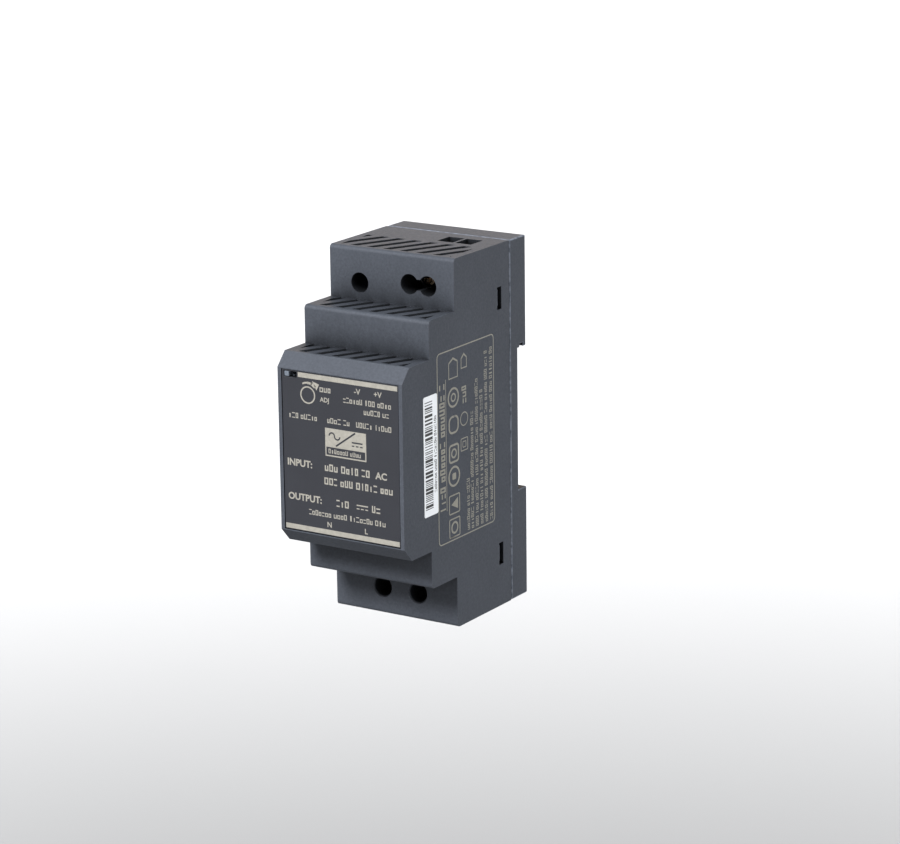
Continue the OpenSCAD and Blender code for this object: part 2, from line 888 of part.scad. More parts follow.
module output_clamp_1() {
    color(steel)
        clamp(output_poles[0], output_z);
}

module output_clamp_2() {
    color(steel)
        clamp(output_poles[1], output_z);
}

module output_screw_1() {
    color(steel)
        clamp_screw(output_poles[0], output_z);
}

module output_screw_2() {
    color(steel)
        clamp_screw(output_poles[1], output_z);
}

module input_terminal_block() {
    color(black)
    mirror([0, 0, 1])
        terminal_block(input_poles, input_z);
}

module input_contacts() {
    color(copper)
    mirror([0, 0, 1])
        contact_bars(input_poles, input_z);
}

module input_clamp_1() {
    color(steel)
        clamp(input_poles[0], -input_z);
}

module input_clamp_2() {
    color(steel)
        clamp(input_poles[1], -input_z);
}

module input_screw_1() {
    color(steel)
        clamp_screw(input_poles[0], -input_z);
}

module input_screw_2() {
    color(steel)
        clamp_screw(input_poles[1], -input_z);
}

module trimmer_body() {
    color([0.15, 0.3, 0.6])
    difference() {
        union() {
            slab(
                about(trimmer_x, 2 * trimmer_half), [board_d, trimmer_body_d],
                about(trimmer_z, 2 * trimmer_half)
            );
            leads(trimmer_pins, board_d + eps);
        }
        rod(trimmer_x, trimmer_z, [trimmer_pocket_d, trimmer_body_d + eps], trimmer_r + 2 * fit);
        rod(
            trimmer_x, trimmer_z, [trimmer_shaft_d - trimmer_shaft_play, trimmer_pocket_d + eps],
            trimmer_shaft_r + fit
        );
    }
}

module trimmer_rotor() {
    slot_d = [trimmer_rotor_d[1] - slot_deep, trimmer_rotor_d[1] + eps];
    color([0.92, 0.9, 0.85])
    difference() {
        union() {
            rod(trimmer_x, trimmer_z, trimmer_rotor_d, trimmer_r);
            rod(trimmer_x, trimmer_z, [trimmer_shaft_d, trimmer_rotor_d[0] + eps], trimmer_shaft_r);
        }
        slab(about(trimmer_x, arrow_slot[0]), slot_d, about(trimmer_z, arrow_slot[1]));
        slab([trimmer_x - arrow_arm, trimmer_x], slot_d, about(trimmer_z, arrow_slot[0]));
    }
}

module input_fuse() {
    color([0.75, 0.15, 0.1])
    union() {
        soft_block(fuse_at, fuse_size, [board_d, board_d + fuse_size[2]], fuse_corner);
        leads(fuse_pins, board_d + eps);
    }
}

// Disc on two leads, standing across the board
module disc_part(at, r, t, pins) {
    stand = board_d + disc_stand;
    upright(at[0], stand + r, [at[1] - t / 2, at[1] + t / 2], r);
    leads(pins, stand + r);
}

module inrush_thermistor() {
    color([0.12, 0.14, 0.12])
        disc_part(thermistor_at, thermistor_r, thermistor_t, thermistor_pins);
}

module surge_absorber() {
    color([0.1, 0.25, 0.6])
        disc_part(absorber_at, absorber_r, absorber_t, absorber_pins);
}

module line_filter_capacitor() {
    color([0.85, 0.7, 0.2])
    union() {
        slab(
            about(filter_at[0], filter_size[0]), [board_d, board_d + filter_size[2]],
            about(filter_at[1], filter_size[1])
        );
        leads(filter_pins, board_d + eps);
    }
}

module line_choke_core() {
    color([0.3, 0.45, 0.3])
    translate([choke_at[0] - choke_t / 2, y_at(choke_d), choke_at[1]])
        rotate([0, 90, 0])
            difference() {
                cylinder(r = choke_r[1], h = choke_t);
                translate([0, 0, -eps])
                    cylinder(r = choke_r[0], h = choke_t + 2 * eps);
            }
}

// Two windings of separate turns round the ring core, with their leads
module line_choke_winding() {
    first = choke_turn_step * (choke_turns - 1) / 2;
    color(copper)
    union() {
        for (start = [-first, 180 - first]) {
            for (i = [0:choke_turns - 1]) {
                translate([choke_at[0], y_at(choke_d), choke_at[1]])
                    rotate([start + choke_turn_step * i, 0, 0])
                        translate([0, choke_ring_r, 0])
                            rotate_extrude()
                                translate([choke_turn_r, 0])
                                    circle(choke_wire_r);
            }
        }
        leads(choke_pins, board_d + choke_lead_rise);
    }
}

module bridge_rectifier() {
    color(black)
    union() {
        slab(
            about(bridge_at[0], bridge_size[0]), [board_d, board_d + bridge_size[2]],
            about(bridge_at[1], bridge_size[1])
        );
        leads(bridge_pins, board_d + eps);
    }
}

// Standing can with a rolled groove near its base and a scored top
module can(at, r, h, pins) {
    top = board_d + h;
    score_d = [top - score_deep, top + eps];
    groove_at = [board_d + can_groove_d[0], board_d + can_groove_d[1]];
    difference() {
        rod(at[0], at[1], [board_d, top], r);
        difference() {
            rod(at[0], at[1], groove_at, r + eps);
            rod(at[0], at[1], [groove_at[0] - eps, groove_at[1] + eps], r - can_groove);
        }
        slab(about(at[0], score_share * 2 * r), score_d, about(at[1], score_w));
        slab(about(at[0], score_w), score_d, about(at[1], score_share * 2 * r));
    }
    leads(pins, board_d + eps);
}

module bulk_capacitor() {
    color([0.15, 0.2, 0.35])
        can(bulk_at, bulk_r, bulk_h, bulk_pins);
}

module output_capacitors() {
    color([0.15, 0.3, 0.3])
    for (i = [0:1]) {
        can(output_can_at[i], output_can_r[i], output_can_h[i], [can_pins[2 * i], can_pins[2 * i + 1]]);
    }
}

// Plate heat sink with short fins on one side
module heat_sink(x, z, h, fin_side, fin) {
    fin_z = fin_side > 0 ? [z + sink_t - eps, z + sink_t + fin] : [z - fin, z + eps];
    slab(x, [board_d, board_d + h], [z, z + sink_t]);
    for (d = [board_d + fin_pitch:fin_pitch:board_d + h - fin_t]) {
        slab(x, [d, d + fin_t], fin_z);
    }
}

module primary_heat_sink() {
    color(steel)
        heat_sink(primary_sink_x, primary_sink_z, primary_sink_h, -1, sink_fin[0]);
}

module output_heat_sink() {
    color(steel)
        heat_sink(output_sink_x, output_sink_z, output_sink_h, 1, sink_fin[1]);
}

// Upright power package flat against its heat sink, on three leads
module power_package(at, pins) {
    foot = board_d + package_foot;
    top = foot + package[2];
    side = at[1] > 0 ? 1 : -1;
    tab_face = at[1] + side * (package[1] / 2 - package_tab_t);
    open_face = at[1] - side * package[1];
    difference() {
        slab(about(at[0], package[0]), [foot, top + package_tab], about(at[1], package[1]));
        slab(
            about(at[0], 2 * package[0]), [top, top + package_tab + eps],
            [min(tab_face, open_face), max(tab_face, open_face)]
        );
        upright(at[0], top + package_tab / 2, about(at[1], 2 * package[1]), package_hole_r);
    }
    leads(pins, foot + eps);
}

module switching_transistor() {
    color(black)
        power_package(switch_at, switch_pins);
}

module output_rectifier() {
    color(black)
        power_package(rectifier_at, rectifier_pins);
}

module transformer_core() {
    x = transformer_at[0];
    z = about(transformer_at[1], 2 * core_half_t);
    outer = core_half_w - core_leg;
    color([0.2, 0.2, 0.22])
    difference() {
        slab([x - core_half_w, x + core_half_w], core_d, z);
        slab([x + core_centre_half, x + outer], window_core_d, [z[0] - eps, z[1] + eps]);
        slab([x - outer, x - core_centre_half], window_core_d, [z[0] - eps, z[1] + eps]);
    }
}

module transformer_bobbin() {
    at = transformer_at;
    width = about(at[0], 2 * bobbin_half_w);
    d = [window_core_d[0] + bobbin_clear, window_core_d[1] - bobbin_clear];
    rail = core_half_t + bobbin_clear;
    color([0.1, 0.1, 0.1])
    difference() {
        union() {
            slab(about(at[0], bobbin_tube_size[0]), d, about(at[1], bobbin_tube_size[1]));
            for (start = [d[0], d[1] - bobbin_flange]) {
                slab(width, [start, start + bobbin_flange], about(at[1], 2 * bobbin_half_t));
            }
            for (z = [[at[1] + rail, at[1] + bobbin_half_t], [at[1] - bobbin_half_t, at[1] - rail]]) {
                slab(width, [board_d, d[0] + bobbin_flange], z);
            }
            leads(bobbin_pins, board_d + eps);
        }
        slab(
            about(at[0], 2 * (core_centre_half + bobbin_clear)), [d[0] - eps, d[1] + eps],
            about(at[1], 2 * (core_half_t + bobbin_clear))
        );
    }
}

module transformer_winding() {
    at = transformer_at;
    room = bobbin_clear + bobbin_flange;
    d = [window_core_d[0] + room, window_core_d[1] - room];
    size = [2 * (bobbin_half_w - winding_inset), 2 * (bobbin_half_t - winding_inset)];
    color([0.85, 0.75, 0.2])
    difference() {
        soft_block(at, size, d, winding_r);
        slab(
            about(at[0], bobbin_tube_size[0]), [d[0] - eps, d[1] + eps],
            about(at[1], bobbin_tube_size[1])
        );
    }
}

module safety_capacitor() {
    stand = board_d + disc_stand;
    color([0.1, 0.4, 0.7])
    union() {
        translate([safety_at[0] - safety_t / 2, y_at(stand + safety_r), safety_at[1]])
            rotate([0, 90, 0])
                cylinder(r = safety_r, h = safety_t);
        leads(safety_pins, stand + safety_r);
    }
}

module optocoupler() {
    d = [board_d + opto_stand, board_d + opto_stand + opto_size[2]];
    leg_d = [board_d + opto_leg_d[0], board_d + opto_leg_d[1]];
    foot = opto_size[1] / 2 - opto_leg_root;
    color(black)
    union() {
        slab(about(opto_at[0], opto_size[0]), d, about(opto_at[1], opto_size[1]));
        for (p = opto_pins) {
            rod(p[0], p[1], [lead_end_d, leg_d[1]], lead_r);
            slab(
                about(p[0], opto_leg_w), leg_d,
                p[1] < opto_at[1] ? [p[1], opto_at[1] - foot] : [opto_at[1] + foot, p[1]]
            );
        }
    }
}

module controller_chip() {
    x = control_x[1];
    color(black)
    union() {
        slab(
            [x + chip_stand, x + chip_stand + chip_t], [chip_d[0] + chip_leg, chip_d[1] - chip_leg],
            chip_z
        );
        for (i = [0:3]) {
            low = chip_z[0] + chip_leg_start + chip_leg_pitch * i;
            slab([x, x + chip_leg_rise], chip_d, [low, low + chip_leg_w]);
        }
    }
}

module output_choke() {
    d = [board_d, board_d + output_choke_h];
    color(black)
    union() {
        for (low = [d[0], d[1] - drum_flange]) {
            rod(output_choke_at[0], output_choke_at[1], [low, low + drum_flange], output_choke_r);
        }
        rod(output_choke_at[0], output_choke_at[1], d, output_choke_r - drum_step);
        leads(output_choke_pins, board_d + eps);
    }
}

front_housing();
rear_cover();
rail_latch();
latch_spring();
front_label();
side_sticker();
light_pipe();
status_led();
main_board();
control_board();
insulation_sheet();
output_terminal_block();
output_contacts();
output_clamp_1();
output_clamp_2();
output_screw_1();
output_screw_2();
input_terminal_block();
input_contacts();
input_clamp_1();
input_clamp_2();
input_screw_1();
input_screw_2();
trimmer_body();
trimmer_rotor();
input_fuse();
inrush_thermistor();
surge_absorber();
line_filter_capacitor();
line_choke_core();
line_choke_winding();
bridge_rectifier();
bulk_capacitor();
primary_heat_sink();
switching_transistor();
transformer_core();
transformer_bobbin();
transformer_winding();
safety_capacitor();
optocoupler();
controller_chip();
output_heat_sink();
output_rectifier();
output_capacitors();
output_choke();
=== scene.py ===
"""Looks of a two-module power supply for a mounting rail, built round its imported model."""
import math
import random

import bmesh
import bpy
from mathutils import Matrix, Vector


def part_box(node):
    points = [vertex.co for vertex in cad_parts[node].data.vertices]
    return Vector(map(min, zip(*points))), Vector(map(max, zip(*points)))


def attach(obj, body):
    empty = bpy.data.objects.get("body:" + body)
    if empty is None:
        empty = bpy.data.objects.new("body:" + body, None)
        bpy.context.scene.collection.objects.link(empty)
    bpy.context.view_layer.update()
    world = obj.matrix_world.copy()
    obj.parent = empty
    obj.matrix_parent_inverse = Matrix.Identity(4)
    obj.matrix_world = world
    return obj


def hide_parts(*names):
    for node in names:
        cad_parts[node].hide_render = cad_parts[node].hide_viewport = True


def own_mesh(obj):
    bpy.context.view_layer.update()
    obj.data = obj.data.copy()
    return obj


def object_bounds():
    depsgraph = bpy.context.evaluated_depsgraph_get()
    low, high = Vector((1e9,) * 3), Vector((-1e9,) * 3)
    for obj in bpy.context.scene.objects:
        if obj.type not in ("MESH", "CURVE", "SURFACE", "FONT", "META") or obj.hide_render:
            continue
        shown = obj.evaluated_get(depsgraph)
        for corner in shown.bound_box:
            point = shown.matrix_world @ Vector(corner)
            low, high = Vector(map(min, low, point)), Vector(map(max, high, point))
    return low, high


bl_info = {
    "name": "Rail Power Supply",
    "version": (1, 0, 0),
    "blender": (4, 5, 0),
    "location": "View3D > Sidebar > Power Supply",
    "description": "Finishes the pieces of a rail power supply and sets its studio",
    "category": "Object",
}

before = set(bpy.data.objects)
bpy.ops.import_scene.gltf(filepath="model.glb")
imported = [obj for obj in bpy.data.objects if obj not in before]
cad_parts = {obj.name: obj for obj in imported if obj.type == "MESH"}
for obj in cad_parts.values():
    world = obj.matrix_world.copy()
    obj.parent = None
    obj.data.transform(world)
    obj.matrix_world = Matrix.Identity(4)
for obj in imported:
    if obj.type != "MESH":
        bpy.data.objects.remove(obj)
cad_low, cad_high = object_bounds()

MM = 0.001
# Mask of the rounded edge faces, which carry a painted highlight and some wear.
EDGE_SHEEN_AND_WEAR = "edge_sheen_and_wear"

# Clean-up of the CAD nodes' triangles, and the angles that part smooth, soft and sharp
WELD_WITHIN = 2e-6
FLAT_WITHIN = math.radians(0.6)
SMOOTH_UNDER = math.radians(35)
SOFTENED_FROM = 40

# Prints, in millimetres: how deep they are sunk, and how much bolder their letters are
PRINT_SUNK = 0.004
LETTER_BOLD = 0.02
HEADING_BOLD = 0.03

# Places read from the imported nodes, in metres
label_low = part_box("front_label")[0]
case_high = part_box("front_housing")[1]
cover_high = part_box("rear_cover")[1]
sticker_low, sticker_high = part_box("side_sticker")
spring_low, spring_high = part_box("latch_spring")


# ---------------------------------------------------------------------------------------------
# Settings shown in the sidebar


class PS_CaseLook(bpy.types.PropertyGroup):
    plastic: bpy.props.FloatVectorProperty(
        name="Case plastic", description="Colour of the moulded case", subtype="COLOR",
        size=3, min=0, max=1, default=(0.050, 0.0555, 0.067))
    plastic_rough: bpy.props.FloatProperty(
        name="Plastic roughness", description="Roughness of the spark-eroded texture",
        min=0, max=1, default=0.55)
    plastic_shine: bpy.props.FloatProperty(
        name="Plastic shine", description="Strength of the plastic's reflections",
        min=0, max=1, default=0.12)
    edge: bpy.props.FloatProperty(
        name="Edge rounding", description="Rounding of the moulded edges",
        subtype="DISTANCE", unit="LENGTH", min=0, max=0.001, default=0.0003)
    grain: bpy.props.FloatProperty(
        name="Grain size", description="Size of the grain of the moulded texture",
        subtype="DISTANCE", unit="LENGTH", min=0.0001, max=0.002, default=0.00035)


class PS_LabelLook(bpy.types.PropertyGroup):
    film: bpy.props.FloatVectorProperty(
        name="Label film", description="Colour of the front label", subtype="COLOR",
        size=3, min=0, max=1, default=(0.0175, 0.0185, 0.0235))
    ink: bpy.props.FloatVectorProperty(
        name="Label ink", description="Colour of the print on the front label", subtype="COLOR",
        size=3, min=0, max=1, default=(0.235, 0.222, 0.192))
    side_ink: bpy.props.FloatVectorProperty(
        name="Side ink", description="Colour of the print on the side wall", subtype="COLOR",
        size=3, min=0, max=1, default=(0.190, 0.182, 0.150))
    paper: bpy.props.FloatVectorProperty(
        name="Sticker paper", description="Colour of the bar sticker", subtype="COLOR",
        size=3, min=0, max=1, default=(0.72, 0.74, 0.76))
    ink_height: bpy.props.FloatProperty(
        name="Ink height", description="How far the print stands proud",
        subtype="DISTANCE", unit="LENGTH", min=0.000005, max=0.00005, default=0.000015)


class PS_InsideLook(bpy.types.PropertyGroup):
    board: bpy.props.FloatVectorProperty(
        name="Board", description="Colour of the solder mask", subtype="COLOR",
        size=3, min=0, max=1, default=(0.012, 0.085, 0.035))
    tape: bpy.props.FloatVectorProperty(
        name="Winding tape", description="Colour of the transformer's tape", subtype="COLOR",
        size=3, min=0, max=1, default=(0.62, 0.46, 0.05))
    sleeve: bpy.props.FloatVectorProperty(
        name="Can sleeve", description="Colour of the capacitor sleeves", subtype="COLOR",
        size=3, min=0, max=1, default=(0.012, 0.025, 0.075))


class PS_StageLook(bpy.types.PropertyGroup):
    floor: bpy.props.FloatVectorProperty(
        name="Floor", description="Colour of the floor", subtype="COLOR",
        size=3, min=0, max=1, default=(0.62, 0.62, 0.62))
    # Painted shadow: how far the floor's colour is darkened straight below the piece.
    pool: bpy.props.FloatProperty(
        name="Pool", description="How light the floor stays straight below the piece",
        min=0, max=1, default=0.18)
    sky: bpy.props.FloatProperty(
        name="Sky", description="Strength of the even light from above",
        min=0, max=5, default=0.18)
    horizon: bpy.props.FloatProperty(
        name="Horizon", description="Strength of the even light near the horizon",
        min=0, max=5, default=0.15)
    front: bpy.props.FloatProperty(
        name="Front light", description="Strength of the soft light over the front",
        min=0, max=20, default=6.7)
    side: bpy.props.FloatProperty(
        name="Side light", description="Strength of the soft light over the right side",
        min=0, max=20, default=2.25)
    back: bpy.props.FloatProperty(
        name="Back light", description="Strength of the soft light over the back",
        min=0, max=20, default=0.5)
    left: bpy.props.FloatProperty(
        name="Left light", description="Strength of the cool light high on the left",
        min=0, max=20, default=0.3)


def looks():
    return bpy.context.scene.power_supply_looks


class PS_Looks(bpy.types.PropertyGroup):
    case: bpy.props.PointerProperty(type=PS_CaseLook)
    label: bpy.props.PointerProperty(type=PS_LabelLook)
    inside: bpy.props.PointerProperty(type=PS_InsideLook)
    stage: bpy.props.PointerProperty(type=PS_StageLook)


# ---------------------------------------------------------------------------------------------
# Finishes


def shade(colour, share):
    """The colour made lighter or darker by a share."""
    return tuple(min(1.0, c * share) for c in colour[:3]) + (1.0,)


class Finish:
    """Builds one procedural material on Object coordinates, step by step. Sizes are in metres."""

    def __init__(self, name, colour, rough, metallic=0.0):
        self.material = bpy.data.materials.new(name)
        self.material.use_nodes = True
        self.tree = self.material.node_tree
        self.shader = self.tree.nodes["Principled BSDF"]
        self.where = self.tree.nodes.new("ShaderNodeTexCoord").outputs["Object"]
        self.colour = None
        self.height = None
        self.shader.inputs["Base Color"].default_value = shade(colour, 1)
        self.shader.inputs["Roughness"].default_value = rough
        self.shader.inputs["Metallic"].default_value = metallic
        self.base = colour
        self.rough = rough

    def node(self, kind, **values):
        made = self.tree.nodes.new(kind)
        for key, value in values.items():
            setattr(made, key, value)
        return made

    def join(self, out, socket):
        self.tree.links.new(out, socket)

    def stretched(self, stretch):
        """Object coordinates scaled along each axis."""
        made = self.node("ShaderNodeMapping")
        made.inputs["Scale"].default_value = stretch
        self.join(self.where, made.inputs["Vector"])
        return made.outputs["Vector"]

    def noise(self, size, detail=2.0, stretch=None, rough=0.5):
        """Noise whose lumps are about one size, in metres."""
        made = self.node("ShaderNodeTexNoise")
        made.inputs["Scale"].default_value = 1 / size
        made.inputs["Detail"].default_value = detail
        made.inputs["Roughness"].default_value = rough
        self.join(self.stretched(stretch) if stretch else self.where, made.inputs["Vector"])
        return made.outputs["Fac"]

    def spread(self, value, low, high, start=0.3, end=0.7):
        made = self.node("ShaderNodeMapRange")
        made.inputs["From Min"].default_value = start
        made.inputs["From Max"].default_value = end
        made.inputs["To Min"].default_value = low
        made.inputs["To Max"].default_value = high
        self.join(value, made.inputs["Value"])
        return made.outputs["Result"]

    def mix(self, share, first, second):
        """Colour mixed by a share. Each colour is a link or a value."""
        made = self.node("ShaderNodeMix", data_type="RGBA")
        self.join(share, made.inputs["Factor"])
        for socket, colour in ((made.inputs[6], first), (made.inputs[7], second)):
            if isinstance(colour, tuple):
                socket.default_value = colour
            else:
                self.join(colour, socket)
        return made.outputs[2]

    def blotches(self, size, amount, detail=3.0, stretch=None):
        """Slow change of colour over the surface."""
        share = self.spread(self.noise(size, detail, stretch), 0, 1)
        first = self.colour or shade(self.base, 1 - amount)
        second = shade(self.base, 1 + amount)
        self.colour = self.mix(share, first, second)
        return self

    def speckles(self, size, amount):
        """Fine change of tone over the blotches."""
        tone = self.spread(self.noise(size, 2.0), 1 - amount, 1 + amount)
        made = self.node("ShaderNodeVectorMath", operation="SCALE")
        self.join(self.colour, made.inputs[0])
        self.join(tone, made.inputs["Scale"])
        self.colour = made.outputs[0]
        return self

    def uneven_gloss(self, size, amount, stretch=None):
        low, high = max(0.02, self.rough - amount), min(1.0, self.rough + amount)
        value = self.spread(self.noise(size, 3.0, stretch), low, high)
        self.join(value, self.shader.inputs["Roughness"])
        return self

    def bumps(self, size, height, detail=2.0, stretch=None, rough=0.5):
        """Relief of a given height, in metres. Several lie over each other."""
        return self.relief(self.noise(size, detail, stretch, rough), height)

    def relief(self, value, height):
        made = self.node("ShaderNodeBump")
        made.inputs["Strength"].default_value = 1.0
        made.inputs["Distance"].default_value = height
        self.join(value, made.inputs["Height"])
        if self.height:
            self.join(self.height, made.inputs["Normal"])
        self.height = made.outputs["Normal"]
        return self

    def bands(self, axis, pitch, height=0.0, tint=None, amount=0.5, waver=0.0):
        """Lines across one axis, as on wound wire, fins of a mould or a weave."""
        made = self.node("ShaderNodeTexWave", wave_type="BANDS", bands_direction=axis)
        made.inputs["Scale"].default_value = math.pi / 10 / pitch
        made.inputs["Distortion"].default_value = waver
        made.inputs["Detail"].default_value = 0.0
        self.join(self.where, made.inputs["Vector"])
        if height:
            self.relief(made.outputs["Fac"], height)
        if tint:
            share = self.spread(made.outputs["Fac"], 0, amount, 0.2, 0.9)
            self.colour = self.mix(share, self.colour or shade(self.base, 1), shade(tint, 1))
        return self

    def highlight_and_wear_edges(self, tint, amount):
        """The piece's own rounded edges painted lighter, unevenly: a painted highlight along the
        edges, with some rub wear.
        """
        edge = self.node("ShaderNodeAttribute", attribute_name=EDGE_SHEEN_AND_WEAR)
        edge_lightening = self.node("ShaderNodeMath", operation="MULTIPLY")
        self.join(edge.outputs["Fac"], edge_lightening.inputs[0])
        patches = self.spread(self.noise(0.0016, 4.0), 0.3 * amount, amount, 0.38, 0.60)
        self.join(patches, edge_lightening.inputs[1])
        self.colour = self.mix(edge_lightening.outputs[0], self.colour or shade(self.base, 1), shade(tint, 1))
        return self

    def painted_recess_shade(self, reach, share, closed_at, open_at):
        """Painted shade: the colour darkened by ambient occlusion in deep holes, slots, corners
        and under overhangs.
        """
        closed = self.node("ShaderNodeAmbientOcclusion", samples=6)
        closed.inputs["Distance"].default_value = reach
        tone = self.spread(closed.outputs["AO"], share, 1, closed_at, open_at)
        made = self.node("ShaderNodeVectorMath", operation="SCALE")
        made.inputs[0].default_value = self.base
        if self.colour:
            self.join(self.colour, made.inputs[0])
        self.join(tone, made.inputs["Scale"])
        self.colour = made.outputs[0]
        return self

    def value(self, **sockets):
        for name, number in sockets.items():
            self.shader.inputs[name.replace("_", " ")].default_value = number
        return self

    def done(self):
        if self.colour:
            self.join(self.colour, self.shader.inputs["Base Color"])
        if self.height:
            self.join(self.height, self.shader.inputs["Normal"])
        return self.material


_made = {}


def finish_for(slot):
    """The material of one slot, made once."""
    if slot not in _made:
        _made[slot] = RECIPES[slot]()
    return _made[slot]


def case_plastic():
    look = looks().case
    made = Finish("case_plastic", look.plastic, look.plastic_rough)
    made.value(Specular_IOR_Level=look.plastic_shine)
    made.blotches(0.012, 0.05).speckles(0.0006, 0.10).uneven_gloss(0.0009, 0.05)
    made.bumps(look.grain, 0.000028, 3.0, rough=0.6).bumps(look.grain / 3, 0.000006, 1.0)
    # Painted shade: a short reach darkens holes, slots and vents, a long reach darkens the lower
    # fronts under the overhangs.
    made.painted_recess_shade(0.009, 0.16, 0.12, 0.80).painted_recess_shade(0.030, 0.30, 0.42, 0.90)
    # Painted highlight along the case's rounded edges.
    made.highlight_and_wear_edges(shade(look.plastic, 3.6), 0.85)
    return made.done()


def label_film():
    look = looks().label
    made = Finish("label_film", look.film, 0.5)
    made.blotches(0.009, 0.06).uneven_gloss(0.0007, 0.03).bumps(0.00022, 0.000006, 2.0)
    made.bumps(0.0004, 0.000002, 1.0, (0.1, 1, 1))
    return made.value(Specular_IOR_Level=0.3).done()


def ink(name, colour, rough):
    made = Finish(name, colour, rough)
    made.blotches(0.0008, 0.10, 4.0).uneven_gloss(0.0005, 0.08).bumps(0.00015, 0.000004)
    return made.done()


def sticker_paper():
    made = Finish("sticker_paper", looks().label.paper, 0.55)
    made.blotches(0.003, 0.03).uneven_gloss(0.0006, 0.08).bumps(0.00012, 0.000005, 3.0)
    return made.done()


def moulded(name, colour, rough, grain=0.0003):
    made = Finish(name, colour, rough)
    made.blotches(0.004, 0.08).uneven_gloss(0.0007, 0.07).bumps(grain, 0.00001, 3.0)
    made.highlight_and_wear_edges(shade(colour, 1.8), 0.5)
    return made.done()


def plated(name, colour, rough, stretch=None, height=0.000004):
    made = Finish(name, colour, rough, 1.0)
    made.blotches(0.0011, 0.10, 4.0, stretch).uneven_gloss(0.0005, 0.10, stretch)
    made.bumps(0.00014, height, 2.0, stretch)
    return made.done()


def dipped(name, colour):
    made = Finish(name, colour, 0.28)
    made.blotches(0.0016, 0.10).uneven_gloss(0.0012, 0.08).bumps(0.0011, 0.00006, 1.0)
    return made.value(Coat_Weight=0.4, Coat_Roughness=0.1).done()


def light_guide():
    made = Finish("light_guide", (0.11, 0.13, 0.16), 0.34)
    made.blotches(0.0006, 0.08).uneven_gloss(0.0006, 0.05).bumps(0.0004, 0.000008)
    return made.value(Transmission_Weight=0.15, IOR=1.49).done()


def led_body():
    made = Finish("led_body", (0.60, 0.72, 0.45), 0.25)
    made.blotches(0.0007, 0.08).uneven_gloss(0.0005, 0.08).bumps(0.0005, 0.00001)
    return made.value(Transmission_Weight=0.2).done()


def board_laminate():
    colour = looks().inside.board
    made = Finish("board_laminate", colour, 0.33)
    made.blotches(0.0025, 0.15)
    made.bands("X", 0.0009, 0.000006, shade(colour, 1.5), 0.35)
    made.bands("Z", 0.0009, 0.000006, shade(colour, 1.4), 0.3)
    made.uneven_gloss(0.001, 0.06)
    return made.value(Coat_Weight=0.3, Coat_Roughness=0.2).done()


def insulation_film():
    made = Finish("insulation_film", (0.72, 0.72, 0.66), 0.3)
    made.blotches(0.006, 0.06).uneven_gloss(0.003, 0.08).bumps(0.004, 0.00008, 1.0)
    return made.done()


def magnet_wire():
    made = Finish("magnet_wire", (0.52, 0.17, 0.05), 0.22, 0.9)
    made.blotches(0.0012, 0.15).uneven_gloss(0.0008, 0.08).bumps(0.0004, 0.000012)
    return made.value(Coat_Weight=0.6, Coat_Roughness=0.08).done()


def ferrite():
    made = Finish("ferrite", (0.035, 0.036, 0.042), 0.62)
    made.blotches(0.0012, 0.18, 5.0).uneven_gloss(0.0006, 0.10).bumps(0.00025, 0.000030, 5.0)
    made.highlight_and_wear_edges((0.16, 0.16, 0.17), 0.7)
    return made.done()


def can_sleeve():
    colour = looks().inside.sleeve
    made = Finish("can_sleeve", colour, 0.25)
    made.blotches(0.003, 0.10).uneven_gloss(0.001, 0.06).bumps(0.0016, 0.00002, 1.0)
    made.highlight_and_wear_edges((0.45, 0.46, 0.48), 0.8)
    return made.value(Coat_Weight=0.3).done()


def sink_aluminium():
    made = Finish("sink_aluminium", (0.66, 0.67, 0.69), 0.36, 1.0)
    made.blotches(0.001, 0.08, 4.0, (0.12, 1, 1)).uneven_gloss(0.0005, 0.12, (0.12, 1, 1))
    made.bumps(0.00018, 0.000010, 3.0, (0.08, 1, 1))
    return made.done()


def winding_tape():
    colour = looks().inside.tape
    made = Finish("winding_tape", colour, 0.24)
    made.blotches(0.0022, 0.10)
    made.bands("Y", 0.0042, 0.00006, shade(colour, 0.55), 0.6, 0.4)
    made.uneven_gloss(0.0008, 0.08).bumps(0.0009, 0.00003)
    return made.value(Coat_Weight=0.35).done()


